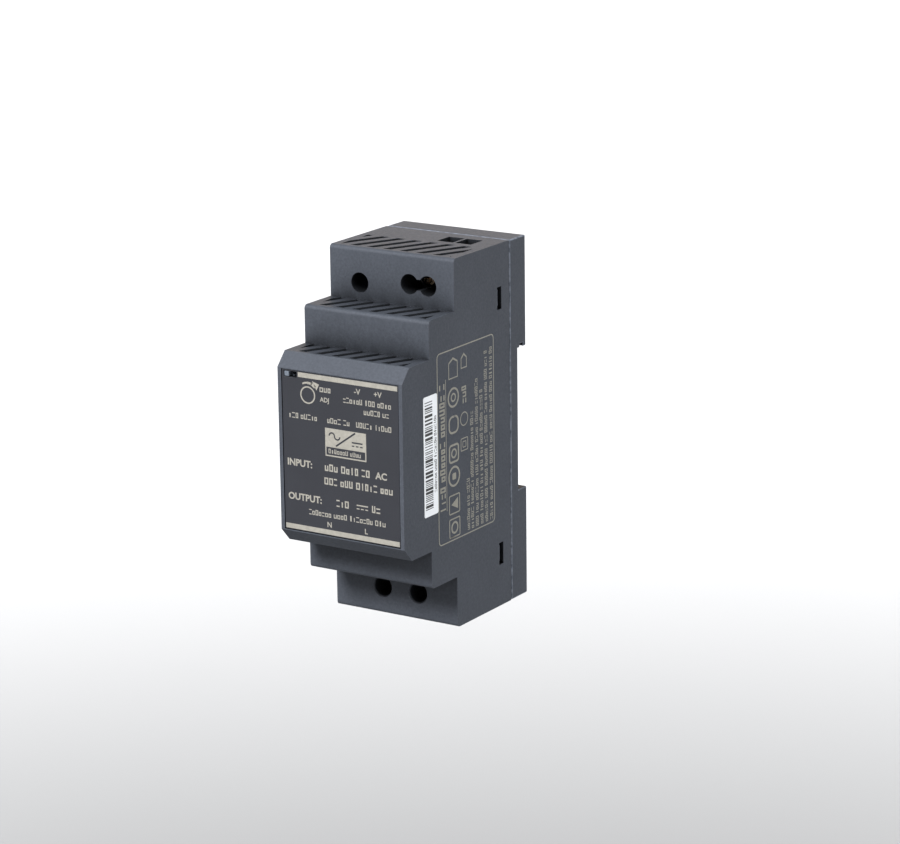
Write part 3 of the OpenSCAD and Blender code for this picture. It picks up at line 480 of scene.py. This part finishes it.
RECIPES = {
    "case_plastic": case_plastic,
    "label_film": label_film,
    "label_ink": lambda: ink("label_ink", looks().label.ink, 0.42),
    "side_ink": lambda: ink("side_ink", looks().label.side_ink, 0.42),
    "bar_ink": lambda: ink("bar_ink", (0.012, 0.012, 0.013), 0.5),
    "sticker_paper": sticker_paper,
    "light_guide": light_guide,
    "led_body": led_body,
    "board_laminate": board_laminate,
    "insulation_film": insulation_film,
    "terminal_plastic": lambda: moulded("terminal_plastic", (0.020, 0.022, 0.026), 0.42),
    "contact_copper": lambda: plated("contact_copper", (0.72, 0.36, 0.18), 0.30),
    "clamp_steel": lambda: plated("clamp_steel", (0.58, 0.57, 0.52), 0.34, (1, 1, 0.2)),
    "screw_steel": lambda: plated("screw_steel", (0.46, 0.36, 0.25), 0.30, height=0.0000015),
    "spring_steel": lambda: plated("spring_steel", (0.50, 0.50, 0.52), 0.26),
    "trimmer_plastic": lambda: moulded("trimmer_plastic", (0.012, 0.06, 0.28), 0.3),
    "rotor_plastic": lambda: moulded("rotor_plastic", (0.70, 0.66, 0.56), 0.42),
    "fuse_plastic": lambda: moulded("fuse_plastic", (0.014, 0.014, 0.016), 0.25),
    "thermistor_coat": lambda: dipped("thermistor_coat", (0.012, 0.022, 0.014)),
    "absorber_coat": lambda: dipped("absorber_coat", (0.010, 0.05, 0.24)),
    "film_capacitor": lambda: moulded("film_capacitor", (0.66, 0.40, 0.04), 0.3),
    "ferrite": ferrite,
    "magnet_wire": magnet_wire,
    "chip_epoxy": lambda: moulded("chip_epoxy", (0.012, 0.012, 0.013), 0.5, 0.00015),
    "can_sleeve": can_sleeve,
    "sink_aluminium": sink_aluminium,
    "bobbin_plastic": lambda: moulded("bobbin_plastic", (0.012, 0.012, 0.013), 0.38),
    "winding_tape": winding_tape,
    "safety_coat": lambda: dipped("safety_coat", (0.012, 0.12, 0.36)),
}


# ---------------------------------------------------------------------------------------------
# Piece making


def place_piece(bm, name, body, slot, nodes=(), material=None):
    """Turns a bmesh into a finished piece on a body, in place of some CAD nodes."""
    mesh = bpy.data.meshes.new(name)
    bm.to_mesh(mesh)
    bm.free()
    mesh.materials.clear()
    mesh.materials.append(material or finish_for(slot))
    mesh.shade_smooth()
    mesh.set_sharp_from_angle(angle=SMOOTH_UNDER)
    obj = bpy.data.objects.new(name, mesh)
    bpy.context.scene.collection.objects.link(obj)
    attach(obj, body)
    if nodes:
        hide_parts(*nodes)
    return obj


def copy_of(node):
    """The mesh of a CAD node with its loose triangles joined into flat faces."""
    bm = bmesh.new()
    bm.from_mesh(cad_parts[node].data)
    bmesh.ops.remove_doubles(bm, verts=bm.verts[:], dist=WELD_WITHIN)
    bmesh.ops.dissolve_limit(
        bm, angle_limit=FLAT_WITHIN, use_dissolve_boundaries=False,
        verts=bm.verts[:], edges=bm.edges[:])
    return bm


def sharp_edges(bm, least=30):
    """Outward edges whose faces turn by more than so many degrees from each other."""
    found = []
    for edge in bm.edges:
        if len(edge.link_faces) == 2 and edge.is_convex:
            if math.degrees(edge.calc_face_angle(0)) > least:
                found.append(edge)
    return found


def round_edges(bm, edges, width, segments=2):
    """Rounds edges, as far as the shortest of them allows, and marks the new faces for the painted
    edge highlight and wear.
    """
    bmesh.ops.bevel(
        bm, geom=edges, offset=width, offset_type="OFFSET", affect="EDGES", segments=segments,
        profile=0.5, material=1, clamp_overlap=True)
    sheen_wear_layer = bm.faces.layers.float.new(EDGE_SHEEN_AND_WEAR)
    for face in bm.faces:
        face[sheen_wear_layer] = face.material_index
        face.material_index = 0


def keep_even(obj):
    """Flat faces stay flat beside their rounded edges."""
    made = obj.modifiers.new("even_normals", "WEIGHTED_NORMAL")
    made.keep_sharp = True
    made.weight = 60
    return obj


def softened(table, body="case", width=0.00012):
    """Copies of CAD nodes with rounded edges: node names under each slot.

    Without a body, each copy rides the body named like its node.
    """
    for slot, nodes in table.items():
        for node in nodes:
            bm = copy_of(node)
            round_edges(bm, sharp_edges(bm, SOFTENED_FROM), width)
            rider = node if body is None else body
            keep_even(place_piece(bm, node + "_piece", rider, slot, [node]))


def finish_nodes(table):
    """Gives CAD nodes their finishes: node names under each slot."""
    for slot, nodes in table.items():
        for node in nodes:
            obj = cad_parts[node]
            obj.data.materials.clear()
            obj.data.materials.append(finish_for(slot))


# ---------------------------------------------------------------------------------------------
# Flat prints: drawn as u to the right, v up and w outwards, in millimetres


def front_plane():
    return Matrix((
        (MM, 0, 0, 0), (0, 0, -MM, label_low.y), (0, MM, 0, 0), (0, 0, 0, 1)))


def side_plane():
    """u runs up the case and v is the depth from the rearmost face."""
    return Matrix((
        (0, 0, MM, case_high.x), (0, -MM, 0, cover_high.y), (MM, 0, 0, 0), (0, 0, 0, 1)))


class Print:
    """Thin raised shapes that make up one print."""

    def __init__(self, plane, height, base=0.0):
        self.bm = bmesh.new()
        self.plane = plane
        self.low = base - PRINT_SUNK
        self.high = base + height / MM

    def block(self, u, v, slant=0.0):
        centre = ((u[0] + u[1]) / 2, (v[0] + v[1]) / 2, (self.low + self.high) / 2)
        size = (u[1] - u[0], v[1] - v[0], self.high - self.low)
        matrix = Matrix.Translation(centre) @ Matrix.Rotation(slant, 4, "Z")
        matrix = matrix @ Matrix.Diagonal((*size, 1))
        return bmesh.ops.create_cube(self.bm, size=1, matrix=matrix)["verts"]

    def soft_block(self, u, v, radius):
        """A block with round corners."""
        verts = self.block(u, v)
        edges = {e for x in verts for e in x.link_edges}
        upright = [e for e in edges if abs((e.verts[0].co - e.verts[1].co).z) > 1e-4]
        bmesh.ops.bevel(
            self.bm, geom=upright, offset=radius, offset_type="OFFSET", affect="EDGES",
            segments=5, profile=0.5, material=-1, clamp_overlap=True)

    def wedge(self, *corners):
        """A flat shape between its corners, in order round it."""
        low = [self.bm.verts.new((u, v, self.low)) for u, v in corners]
        high = [self.bm.verts.new((u, v, self.high)) for u, v in corners]
        self.bm.faces.new(reversed(low))
        self.bm.faces.new(high)
        for i, start in enumerate(low):
            after = (i + 1) % len(low)
            self.bm.faces.new((start, low[after], high[after], high[i]))

    def arc(self, centre, radius, line, start=0.0, sweep=360.0, steps=40):
        """A ring, or part of one, from a small section that is spun."""
        full = sweep >= 360
        inner, outer = radius - line / 2, radius + line / 2
        turn = Matrix.Rotation(math.radians(start), 3, "Z")
        middle = Vector((centre[0], centre[1], 0))
        corners = (
            (inner, self.low), (outer, self.low), (outer, self.high), (inner, self.high))
        points = [self.bm.verts.new(middle + turn @ Vector((r, 0, w))) for r, w in corners]
        section = self.bm.faces.new(points)
        bmesh.ops.spin(
            self.bm, geom=[section, *section.edges, *points], cent=middle, axis=(0, 0, 1),
            angle=math.radians(sweep), steps=steps, use_merge=full)
        if full:
            self.bm.faces.remove(section)

    def ring_box(self, u, v, line, radius):
        """A closed line round a rectangle with round corners."""
        self.block((u[0] + radius, u[1] - radius), (v[0], v[0] + line))
        self.block((u[0] + radius, u[1] - radius), (v[1] - line, v[1]))
        self.block((u[0], u[0] + line), (v[0] + radius, v[1] - radius))
        self.block((u[1] - line, u[1]), (v[0] + radius, v[1] - radius))
        for at_u, at_v, start in (
                (u[1] - radius, v[1] - radius, 0), (u[0] + radius, v[1] - radius, 90),
                (u[0] + radius, v[0] + radius, 180), (u[1] - radius, v[0] + radius, 270)):
            self.arc((at_u, at_v), radius - line / 2, line, start, 90, 6)

    def mark(self, u, v, line, kind):
        """One small shape of a greeked line: a frame, a cup, a pair of bars or a post."""
        if kind == "post":
            self.block((u[0] + line, u[1] - line), v)
            return
        self.block(u, (v[0], v[0] + line))
        if kind in ("pair", "frame"):
            self.block(u, (v[1] - line, v[1]))
        if kind in ("cup", "frame"):
            between = (v[0] + line, v[1] - line if kind == "frame" else v[1])
            self.block((u[0], u[0] + line), between)
            self.block((u[1] - line, u[1]), between)

    def lines_of_type(self, u, v, seed, line=0.17):
        """Small plain shapes grouped like the words of a printed line. They spell nothing."""
        draw = random.Random(seed)
        tall = v[1] - v[0]
        at = u[0]
        while at < u[1] - 0.5 * tall:
            for _ in range(draw.randint(3, 7)):
                width = tall * draw.uniform(0.50, 0.66)
                if at + width > u[1]:
                    break
                top = v[1] if draw.random() < 0.5 else v[0] + tall * 0.76
                kind = draw.choice(("frame", "cup", "pair", "frame", "post", "frame"))
                self.mark((at, at + width), (v[0], top), tall * line, kind)
                at += width + tall * 0.15
            at += tall * 0.42

    def words(self, text, at, tall, bold):
        """Generic marks in the plain built-in letters, by their left lower corner."""
        curve = bpy.data.curves.new("mark", "FONT")
        curve.body = text
        curve.extrude = (self.high - self.low) / 2
        curve.offset = bold
        curve.resolution_u = 3
        holder = bpy.data.objects.new("mark", curve)
        bpy.context.scene.collection.objects.link(holder)
        bpy.context.view_layer.update()
        flat = bpy.data.meshes.new_from_object(
            holder.evaluated_get(bpy.context.evaluated_depsgraph_get()))
        bpy.data.objects.remove(holder)
        low = Vector((min(x.co.x for x in flat.vertices), min(x.co.y for x in flat.vertices), 0))
        high = max(x.co.y for x in flat.vertices)
        scale = tall / (high - low.y)
        flat.transform(
            Matrix.Translation((at[0], at[1], (self.low + self.high) / 2))
            @ Matrix.Diagonal((scale, scale, 1, 1)) @ Matrix.Translation(-low))
        self.bm.from_mesh(flat)
        bpy.data.meshes.remove(flat)

    def done(self, name, slot, material):
        bmesh.ops.remove_doubles(self.bm, verts=self.bm.verts[:], dist=1e-5)
        bmesh.ops.recalc_face_normals(self.bm, faces=self.bm.faces[:])
        bmesh.ops.transform(self.bm, matrix=self.plane, verts=self.bm.verts[:])
        return place_piece(self.bm, name, "case", slot, material=material)


# ---------------------------------------------------------------------------------------------
# Operators


class PieceOperator:
    bl_options = {"REGISTER", "UNDO"}

    def execute(self, context):
        self.make()
        return {"FINISHED"}


class PS_OT_stage(PieceOperator, bpy.types.Operator):
    """Pale floor, soft studio light and the camera"""
    bl_idname = "power_supply.stage"
    bl_label = "Stage"

    azimuth = math.radians(32.77)
    elevation = math.radians(14.97)
    roll = math.radians(-0.705)
    middle = Vector((0, -0.0233, 0))
    aim_right = 0.01066
    aim_up = 0.00227
    distance = 0.7818
    lens = 130.51
    floor_drop = 0.25
    floor_half = 30
    # Reach of the painted shadow on the floor, in metres from the origin.
    shadow_pool_from = 0.25
    shadow_pool_to = 1.0

    def make(self):
        self.floor()
        self.sky()
        stage = looks().stage
        self.soft_sun("front_light", stage.front, -14, 44, 26, (0.985, 0.99, 1.0))
        self.soft_sun("side_light", stage.side, 86, 18, 46, (0.98, 0.99, 1.0))
        self.soft_sun("back_light", stage.back, 211, 17, 36, (1.0, 0.82, 0.66))
        self.soft_sun("left_light", stage.left, -55, 52, 60, (0.86, 0.94, 1.0))
        self.camera()

    def floor(self):
        bm = bmesh.new()
        bmesh.ops.create_grid(bm, x_segments=1, y_segments=1, size=self.floor_half)
        bmesh.ops.translate(bm, vec=(0, 0, cad_low.z - self.floor_drop), verts=bm.verts[:])
        mesh = bpy.data.meshes.new("floor")
        bm.to_mesh(mesh)
        bm.free()
        stage = looks().stage
        made = Finish("studio_floor", stage.floor, 0.8)
        made.blotches(0.4, 0.01).bumps(0.002, 0.00002)
        # Painted shadow: the floor colour is darkened below the piece and fades back to full
        # within about a metre.
        apart = made.node("ShaderNodeVectorMath", operation="LENGTH")
        made.join(made.where, apart.inputs[0])
        share = made.spread(apart.outputs["Value"], 0, 1, self.shadow_pool_from, self.shadow_pool_to)
        made.colour = made.mix(share, shade(stage.floor, stage.pool), made.colour)
        mesh.materials.append(made.done())
        obj = bpy.data.objects.new("floor", mesh)
        bpy.context.scene.collection.objects.link(obj)

    def soft_sun(self, name, strength, azimuth, elevation, spread, tint):
        data = bpy.data.lights.new(name, "SUN")
        data.energy = strength
        data.angle = math.radians(spread)
        data.color = tint
        obj = bpy.data.objects.new(name, data)
        obj.rotation_mode = "QUATERNION"
        obj.rotation_quaternion = self.towards(azimuth, elevation).to_track_quat("Z", "Y")
        bpy.context.scene.collection.objects.link(obj)

    def towards(self, azimuth, elevation):
        a, e = math.radians(azimuth), math.radians(elevation)
        return Vector((math.sin(a) * math.cos(e), -math.cos(a) * math.cos(e), math.sin(e)))

    def sky(self):
        """Cool light overhead that fades towards a dimmer, warmer horizon."""
        stage = looks().stage
        world = bpy.data.worlds.new("studio")
        world.use_nodes = True
        tree = world.node_tree
        background = tree.nodes["Background"]
        where = tree.nodes.new("ShaderNodeTexCoord")
        split = tree.nodes.new("ShaderNodeSeparateXYZ")
        rise = tree.nodes.new("ShaderNodeMapRange")
        rise.inputs["From Min"].default_value = 0.1
        rise.inputs["From Max"].default_value = 0.85
        tint = tree.nodes.new("ShaderNodeMix")
        tint.data_type = "RGBA"
        low = (stage.horizon * 1.10, stage.horizon, stage.horizon * 0.90, 1)
        high = (stage.sky * 0.84, stage.sky * 0.95, stage.sky * 1.14, 1)
        tint.inputs[6].default_value = low
        tint.inputs[7].default_value = high
        tree.links.new(where.outputs["Generated"], split.inputs[0])
        tree.links.new(split.outputs["Z"], rise.inputs["Value"])
        tree.links.new(rise.outputs["Result"], tint.inputs["Factor"])
        tree.links.new(tint.outputs[2], background.inputs["Color"])
        background.inputs["Strength"].default_value = 1.0
        bpy.context.scene.world = world
        bpy.context.scene.view_settings.view_transform = "Standard"

    def camera(self):
        data = bpy.data.cameras.new("camera")
        data.sensor_fit = "HORIZONTAL"
        data.sensor_width = 36
        data.lens = self.lens
        data.clip_start, data.clip_end = 0.05, 60
        back = self.towards(math.degrees(self.azimuth), math.degrees(self.elevation))
        right = Vector((math.cos(self.azimuth), math.sin(self.azimuth), 0))
        up = back.cross(right)
        turned_right = math.cos(self.roll) * right + math.sin(self.roll) * up
        turned_up = math.cos(self.roll) * up - math.sin(self.roll) * right
        aim = self.middle + turned_right * self.aim_right + turned_up * self.aim_up
        obj = bpy.data.objects.new("camera", data)
        turn = Matrix((turned_right, turned_up, back)).transposed().to_4x4()
        obj.matrix_world = Matrix.Translation(aim + back * self.distance) @ turn
        bpy.context.scene.collection.objects.link(obj)
        bpy.context.scene.camera = obj


class PS_OT_case_shells(PieceOperator, bpy.types.Operator):
    """Front housing and rear cover with rounded moulded edges"""
    bl_idname = "power_supply.case_shells"
    bl_label = "Case shells"

    def make(self):
        width = looks().case.edge
        for node in ("front_housing", "rear_cover"):
            bm = copy_of(node)
            round_edges(bm, sharp_edges(bm), width)
            keep_even(place_piece(bm, node + "_shell", "case", "case_plastic", [node]))


class PS_OT_rail_latch(PieceOperator, bpy.types.Operator):
    """Sliding rail latch and its coil spring"""
    bl_idname = "power_supply.rail_latch"
    bl_label = "Rail latch"

    latch_rounding = 0.0002
    spring_wire = 0.00025
    spring_turns = 8
    wire_sides = 12
    turn_steps = 32

    def make(self):
        bm = copy_of("rail_latch")
        round_edges(bm, sharp_edges(bm), self.latch_rounding)
        keep_even(
            place_piece(bm, "rail_latch_slide", "rail_latch", "case_plastic", ["rail_latch"]))
        self.spring()

    def spring(self):
        """Round wire wound in close end turns with open turns between them."""
        wire, close = self.spring_wire, 2.2 * self.spring_wire
        middle = Vector((0, (spring_low.y + spring_high.y) / 2, 0))
        radius = (spring_high.x - spring_low.x) / 2 - wire
        rise = spring_high.z - spring_low.z - 2 * wire
        bm = bmesh.new()
        start = Matrix.Translation((radius, middle.y, spring_low.z + wire))
        start = start @ Matrix.Rotation(math.pi / 2, 4, "X")
        ring = bmesh.ops.create_circle(
            bm, segments=self.wire_sides, radius=wire, matrix=start)["verts"]
        ring = [*ring, *bm.edges]
        for turns, climb in ((1, close), (self.spring_turns - 2, rise - 2 * close), (1, close)):
            steps = turns * self.turn_steps
            ring = bmesh.ops.spin(
                bm, geom=ring, cent=middle, axis=(0, 0, 1), angle=2 * math.pi * turns, steps=steps,
                dvec=(0, 0, climb / steps))["geom_last"]
        ends = [e for e in bm.edges if e.is_boundary]
        bmesh.ops.holes_fill(bm, edges=ends, sides=self.wire_sides)
        bmesh.ops.recalc_face_normals(bm, faces=bm.faces[:])
        piece = place_piece(bm, "latch_spring_coil", "case", "spring_steel", ["latch_spring"])
        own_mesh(piece)


class PS_OT_front_label(PieceOperator, bpy.types.Operator):
    """Front label with its stripes, terminal marks and lines of type"""
    bl_idname = "power_supply.front_label"
    bl_label = "Front label"

    panel_rounding = 0.00008

    def make(self):
        bm = copy_of("front_label")
        round_edges(bm, sharp_edges(bm), self.panel_rounding)
        keep_even(place_piece(bm, "front_label_panel", "case", "label_film", ["front_label"]))
        look = looks().label
        art = Print(front_plane(), look.ink_height)
        self.stripes(art)
        self.trimmer_mark(art)
        self.converter_mark(art, look)
        self.type(art)
        art.done("front_label_print", "label_film", finish_for("label_ink"))

    def stripes(self, art):
        art.block((-11.7, 16.1), (18.05, 19.2))
        art.block((-16.1, 16.1), (-19.2, -18.0))

    def trimmer_mark(self, art):
        """A ring with an arrow that bends over it and swells towards its head."""
        art.arc((-9, 14), 1.95, 0.34)
        for start, line in ((92, 0.42), (66, 0.56), (44, 0.7)):
            art.arc((-9, 14), 2.95, line, start, 27, 6)
        art.wedge((-7.7, 17.5), (-5.7, 16.9), (-6.5, 15.4))
        art.words("ADJ", (-5.6, 12.5), 1.5, LETTER_BOLD)

    def converter_mark(self, art, look):
        """A box with a wave above a slant and a bar over dashes below it."""
        art.block((-4.3, 7.2), (0, 6.8))
        over = Print(front_plane(), 2 * look.ink_height)
        over.block((-1.9, 4.8), (4.4, 4.8), math.radians(35))
        over.arc((-2.4, 5.0), 0.75, 0.34, 0, 180, 10)
        over.arc((-0.9, 5.0), 0.75, 0.34, 180, 180, 10)
        over.block((3.2, 6.2), (4.0, 4.35))
        for at in (3.2, 4.35, 5.5):
            over.block((at, at + 0.7), (3.2, 3.5))
        over.block((-4.0, 6.9), (0.35, 2.25))
        over.done("front_label_mark", "label_film", label_film())
        top = Print(front_plane(), 3 * look.ink_height)
        top.lines_of_type((-3.4, 6.4), (0.75, 1.85), 5)
        top.done("front_label_mark_type", "label_film", finish_for("label_ink"))

    def type(self, art):
        art.words("-V", (4.1, 15.9), 1.35, LETTER_BOLD)
        art.words("+V", (9.6, 15.9), 1.35, LETTER_BOLD)
        art.words("INPUT:", (-15.2, -3.7), 1.75, HEADING_BOLD)
        art.words("OUTPUT:", (-15.2, -12.0), 1.75, HEADING_BOLD)
        art.words("AC", (9.6, -3.7), 1.75, HEADING_BOLD)
        for seed, (u, v) in enumerate((
                ((-5.6, -2.4), (15.2, 16.7)),
                ((1, 14.8), (13.5, 14.8)), ((6.7, 14.5), (11.3, 12.6)),
                ((-14.6, -5.2), (8.0, 9.3)), ((-3.6, 3), (8.0, 9.3)), ((4.5, 14.6), (8.0, 9.3)),
                ((-9.4, 13), (-15, -13.7)))):
            art.lines_of_type(u, v, seed + 11)
        for seed, (u, v) in enumerate((
                ((-4.6, 8.8), (-3.7, -1.95)), ((-4.8, 15), (-7.0, -5.3)),
                ((-1.5, 3.1), (-12, -10.3)), ((8.5, 12), (-12, -10.3)))):
            art.lines_of_type(u, v, seed + 31, 0.19)
        art.block((4.2, 7.4), (-10.95, -10.65))
        for at in (4.2, 5.4, 6.6):
            art.block((at, at + 0.8), (-11.75, -11.5))
        art.words("N", (-4.2, -17.4), 1.3, LETTER_BOLD)
        art.words("L", (6.4, -17.5), 1.3, LETTER_BOLD)


class PS_OT_side_marks(PieceOperator, bpy.types.Operator):
    """Print and bar sticker on the right side wall"""
    bl_idname = "power_supply.side_marks"
    bl_label = "Side marks"

    corner = 0.0005
    bar_height = 0.00001

    def make(self):
        look = looks().label
        art = Print(side_plane(), look.ink_height)
        art.ring_box((-22.9, 23.8), (14.8, 39.8), 0.28, 1.2)
        art.lines_of_type((-15, 17), (36.6, 38.9), 3, 0.21)
        art.block((-15, 17), (36.0, 36.2))
        self.icons(art)
        for seed, (d, start, end) in enumerate((
                (27.0, -22, -9), (25.2, -22, 8), (23.1, -22, 15), (21, -22, 12), (18.9, -22, 21),
                (16.6, -22, 21))):
            art.lines_of_type((start, end), (d - 0.9, d + 0.35), seed + 40)
        art.done("side_print", "case_plastic", finish_for("side_ink"))
        self.sticker()

    def icons(self, art):
        """Plain rings, squares and a house in place of the printed symbols."""
        art.ring_box((-22.2, -17.4), (30.4, 35.2), 0.32, 0.5)
        art.arc((-19.8, 32.8), 1.3, 0.5, 0, 360, 28)
        art.ring_box((-16.4, -11.6), (30.4, 35.2), 0.32, 0.5)
        art.wedge((-15.4, 31.3), (-12.6, 31.3), (-14.0, 34.2))
        art.arc((-7.2, 32.8), 2.3, 0.5, 0, 360, 36)
        art.soft_block((-8.0, -6.4), (32.0, 33.6), 0.3)
        art.ring_box((-3.9, 0.7), (30.6, 35.0), 0.5, 1.0)
        art.arc((-1.6, 32.8), 1.0, 0.45, 0, 360, 24)
        art.ring_box((3.2, 7.6), (30.6, 35.0), 0.5, 1.6)
        art.arc((12.0, 32.8), 2.2, 0.5, 0, 360, 36)
        art.arc((12.0, 32.8), 0.9, 0.4, 0, 360, 20)
        self.house(art, 18.6, 32.8, 2.0)
        art.ring_box((-2.0, 1.2), (26.6, 29.8), 0.25, 0.4)
        art.ring_box((-1.2, 0.4), (27.4, 29.0), 0.22, 0.3)
        art.arc((5.8, 28.2), 1.6, 0.25, 0, 360, 28)
        art.lines_of_type((9.6, 15.0), (27.2, 29.2), 71, 0.2)
        self.house(art, 19.4, 28.1, 1.3)

    def house(self, art, u, v, half):
        """Outline of a house, for use indoors."""
        line = 0.26
        art.block((u - half, u - half + line), (v - half, v + half))
        art.block((u - half + line, u + half), (v - half, v - half + line))
        art.block((u - half + line, u + half), (v + half - line, v + half))
        art.wedge((u + half, v - half), (u + half + 1.1, v), (u + half, v + half),
                  (u + half - line, v + half - line), (u + half + 1.1 - 2 * line, v),
                  (u + half - line, v - half + line))

    def sticker(self):
        bm = bmesh.new()
        low = Vector((case_high.x, sticker_low.y, sticker_low.z))
        high = Vector((sticker_high.x - 0.00002, sticker_high.y, sticker_high.z))
        matrix = Matrix.Translation((low + high) / 2) @ Matrix.Diagonal((*(high - low), 1))
        bmesh.ops.create_cube(bm, size=1, matrix=matrix)
        upright = [e for e in bm.edges if abs((e.verts[0].co - e.verts[1].co).x) > 1e-6]
        bmesh.ops.bevel(
            bm, geom=upright, offset=self.corner, offset_type="OFFSET", affect="EDGES", segments=4,
            profile=0.5, material=-1, clamp_overlap=True)
        place_piece(bm, "side_sticker_paper", "case", "sticker_paper", ["side_sticker"])
        bars = Print(side_plane(), self.bar_height, (high.x - case_high.x) / MM)
        draw = random.Random(8)
        at = -12.6
        while at < 13.2:
            width = draw.choice((0.22, 0.22, 0.44, 0.66))
            bars.block((at, at + width), (42.0, 45.2))
            at += width + draw.choice((0.22, 0.22, 0.44))
        bars.lines_of_type((-9, 9.5), (40.4, 41.35), 17)
        bars.done("side_sticker_bars", "sticker_paper", finish_for("bar_ink"))


class PS_OT_status_light(PieceOperator, bpy.types.Operator):
    """Light pipe behind the label's window and the lamp that feeds it"""
    bl_idname = "power_supply.status_light"
    bl_label = "Status light"

    def make(self):
        softened({"light_guide": ["light_pipe"], "led_body": ["status_led"]})


class PS_OT_terminals(PieceOperator, bpy.types.Operator):
    """Terminal blocks, contact bars, rising clamps and clamp screws"""
    bl_idname = "power_supply.terminals"
    bl_label = "Terminals"

    def make(self):
        poles = [f"{side}_{{}}_{i}" for side in ("output", "input") for i in (1, 2)]
        softened({
            "terminal_plastic": ["output_terminal_block", "input_terminal_block"],
            "contact_copper": ["output_contacts", "input_contacts"],
        })
        softened({
            "clamp_steel": [p.format("clamp") for p in poles],
            "screw_steel": [p.format("screw") for p in poles],
        }, None, 0.0001)


class PS_OT_trimmer(PieceOperator, bpy.types.Operator):
    """Trimmer body and its rotor"""
    bl_idname = "power_supply.trimmer"
    bl_label = "Trimmer"

    def make(self):
        softened({"trimmer_plastic": ["trimmer_body"]})
        softened({"rotor_plastic": ["trimmer_rotor"]}, None, 0.0001)


class PS_OT_boards(PieceOperator, bpy.types.Operator):
    """Main board, control board and insulation sheet"""
    bl_idname = "power_supply.boards"
    bl_label = "Boards"

    def make(self):
        softened({"board_laminate": ["main_board", "control_board"]}, width=0.00008)
        finish_nodes({"insulation_film": ["insulation_sheet"]})


class PS_OT_wound_parts(PieceOperator, bpy.types.Operator):
    """Transformer, line choke and output choke"""
    bl_idname = "power_supply.wound_parts"
    bl_label = "Wound parts"

    def make(self):
        softened({
            "ferrite": ["transformer_core", "line_choke_core", "output_choke"],
            "winding_tape": ["transformer_winding"],
        }, width=0.0003)
        softened({"bobbin_plastic": ["transformer_bobbin"]})
        finish_nodes({"magnet_wire": ["line_choke_winding"]})


class PS_OT_capacitors(PieceOperator, bpy.types.Operator):
    """Cans, film and disc capacitors, and the input protection discs"""
    bl_idname = "power_supply.capacitors"
    bl_label = "Capacitors"

    def make(self):
        softened({
            "can_sleeve": ["bulk_capacitor", "output_capacitors"],
            "film_capacitor": ["line_filter_capacitor"],
            "fuse_plastic": ["input_fuse"],
        }, width=0.0002)
        softened({
            "safety_coat": ["safety_capacitor"],
            "thermistor_coat": ["inrush_thermistor"],
            "absorber_coat": ["surge_absorber"],
        }, width=0.0009)


class PS_OT_semiconductors(PieceOperator, bpy.types.Operator):
    """Power packages, small chips and heat sinks"""
    bl_idname = "power_supply.semiconductors"
    bl_label = "Semiconductors"

    def make(self):
        softened({
            "chip_epoxy": [
                "bridge_rectifier", "switching_transistor", "output_rectifier", "optocoupler",
                "controller_chip"],
            "sink_aluminium": ["primary_heat_sink", "output_heat_sink"],
        })


OPERATORS = (
    PS_OT_stage, PS_OT_case_shells, PS_OT_rail_latch, PS_OT_front_label, PS_OT_side_marks,
    PS_OT_status_light, PS_OT_terminals, PS_OT_trimmer, PS_OT_boards, PS_OT_wound_parts,
    PS_OT_capacitors, PS_OT_semiconductors,
)


class PS_PT_sidebar(bpy.types.Panel):
    """Settings and makers of the power supply's pieces"""
    bl_label = "Power Supply"
    bl_idname = "PS_PT_sidebar"
    bl_space_type = "VIEW_3D"
    bl_region_type = "UI"
    bl_category = "Power Supply"

    def draw(self, context):
        settings = context.scene.power_supply_looks
        for group in (settings.case, settings.label, settings.inside, settings.stage):
            box = self.layout.box()
            for name in group.__annotations__:
                box.prop(group, name)
        for operator in OPERATORS:
            self.layout.operator(operator.bl_idname)


GROUPS = (PS_CaseLook, PS_LabelLook, PS_InsideLook, PS_StageLook, PS_Looks)


def register():
    for cls in (*GROUPS, *OPERATORS, PS_PT_sidebar):
        bpy.utils.register_class(cls)
    bpy.types.Scene.power_supply_looks = bpy.props.PointerProperty(type=PS_Looks)


def unregister():
    del bpy.types.Scene.power_supply_looks
    for cls in reversed((*GROUPS, *OPERATORS, PS_PT_sidebar)):
        bpy.utils.unregister_class(cls)


def main():
    register()
    for operator in OPERATORS:
        group, name = operator.bl_idname.split(".")
        getattr(getattr(bpy.ops, group), name)()


if __name__ == "__main__":
    main()
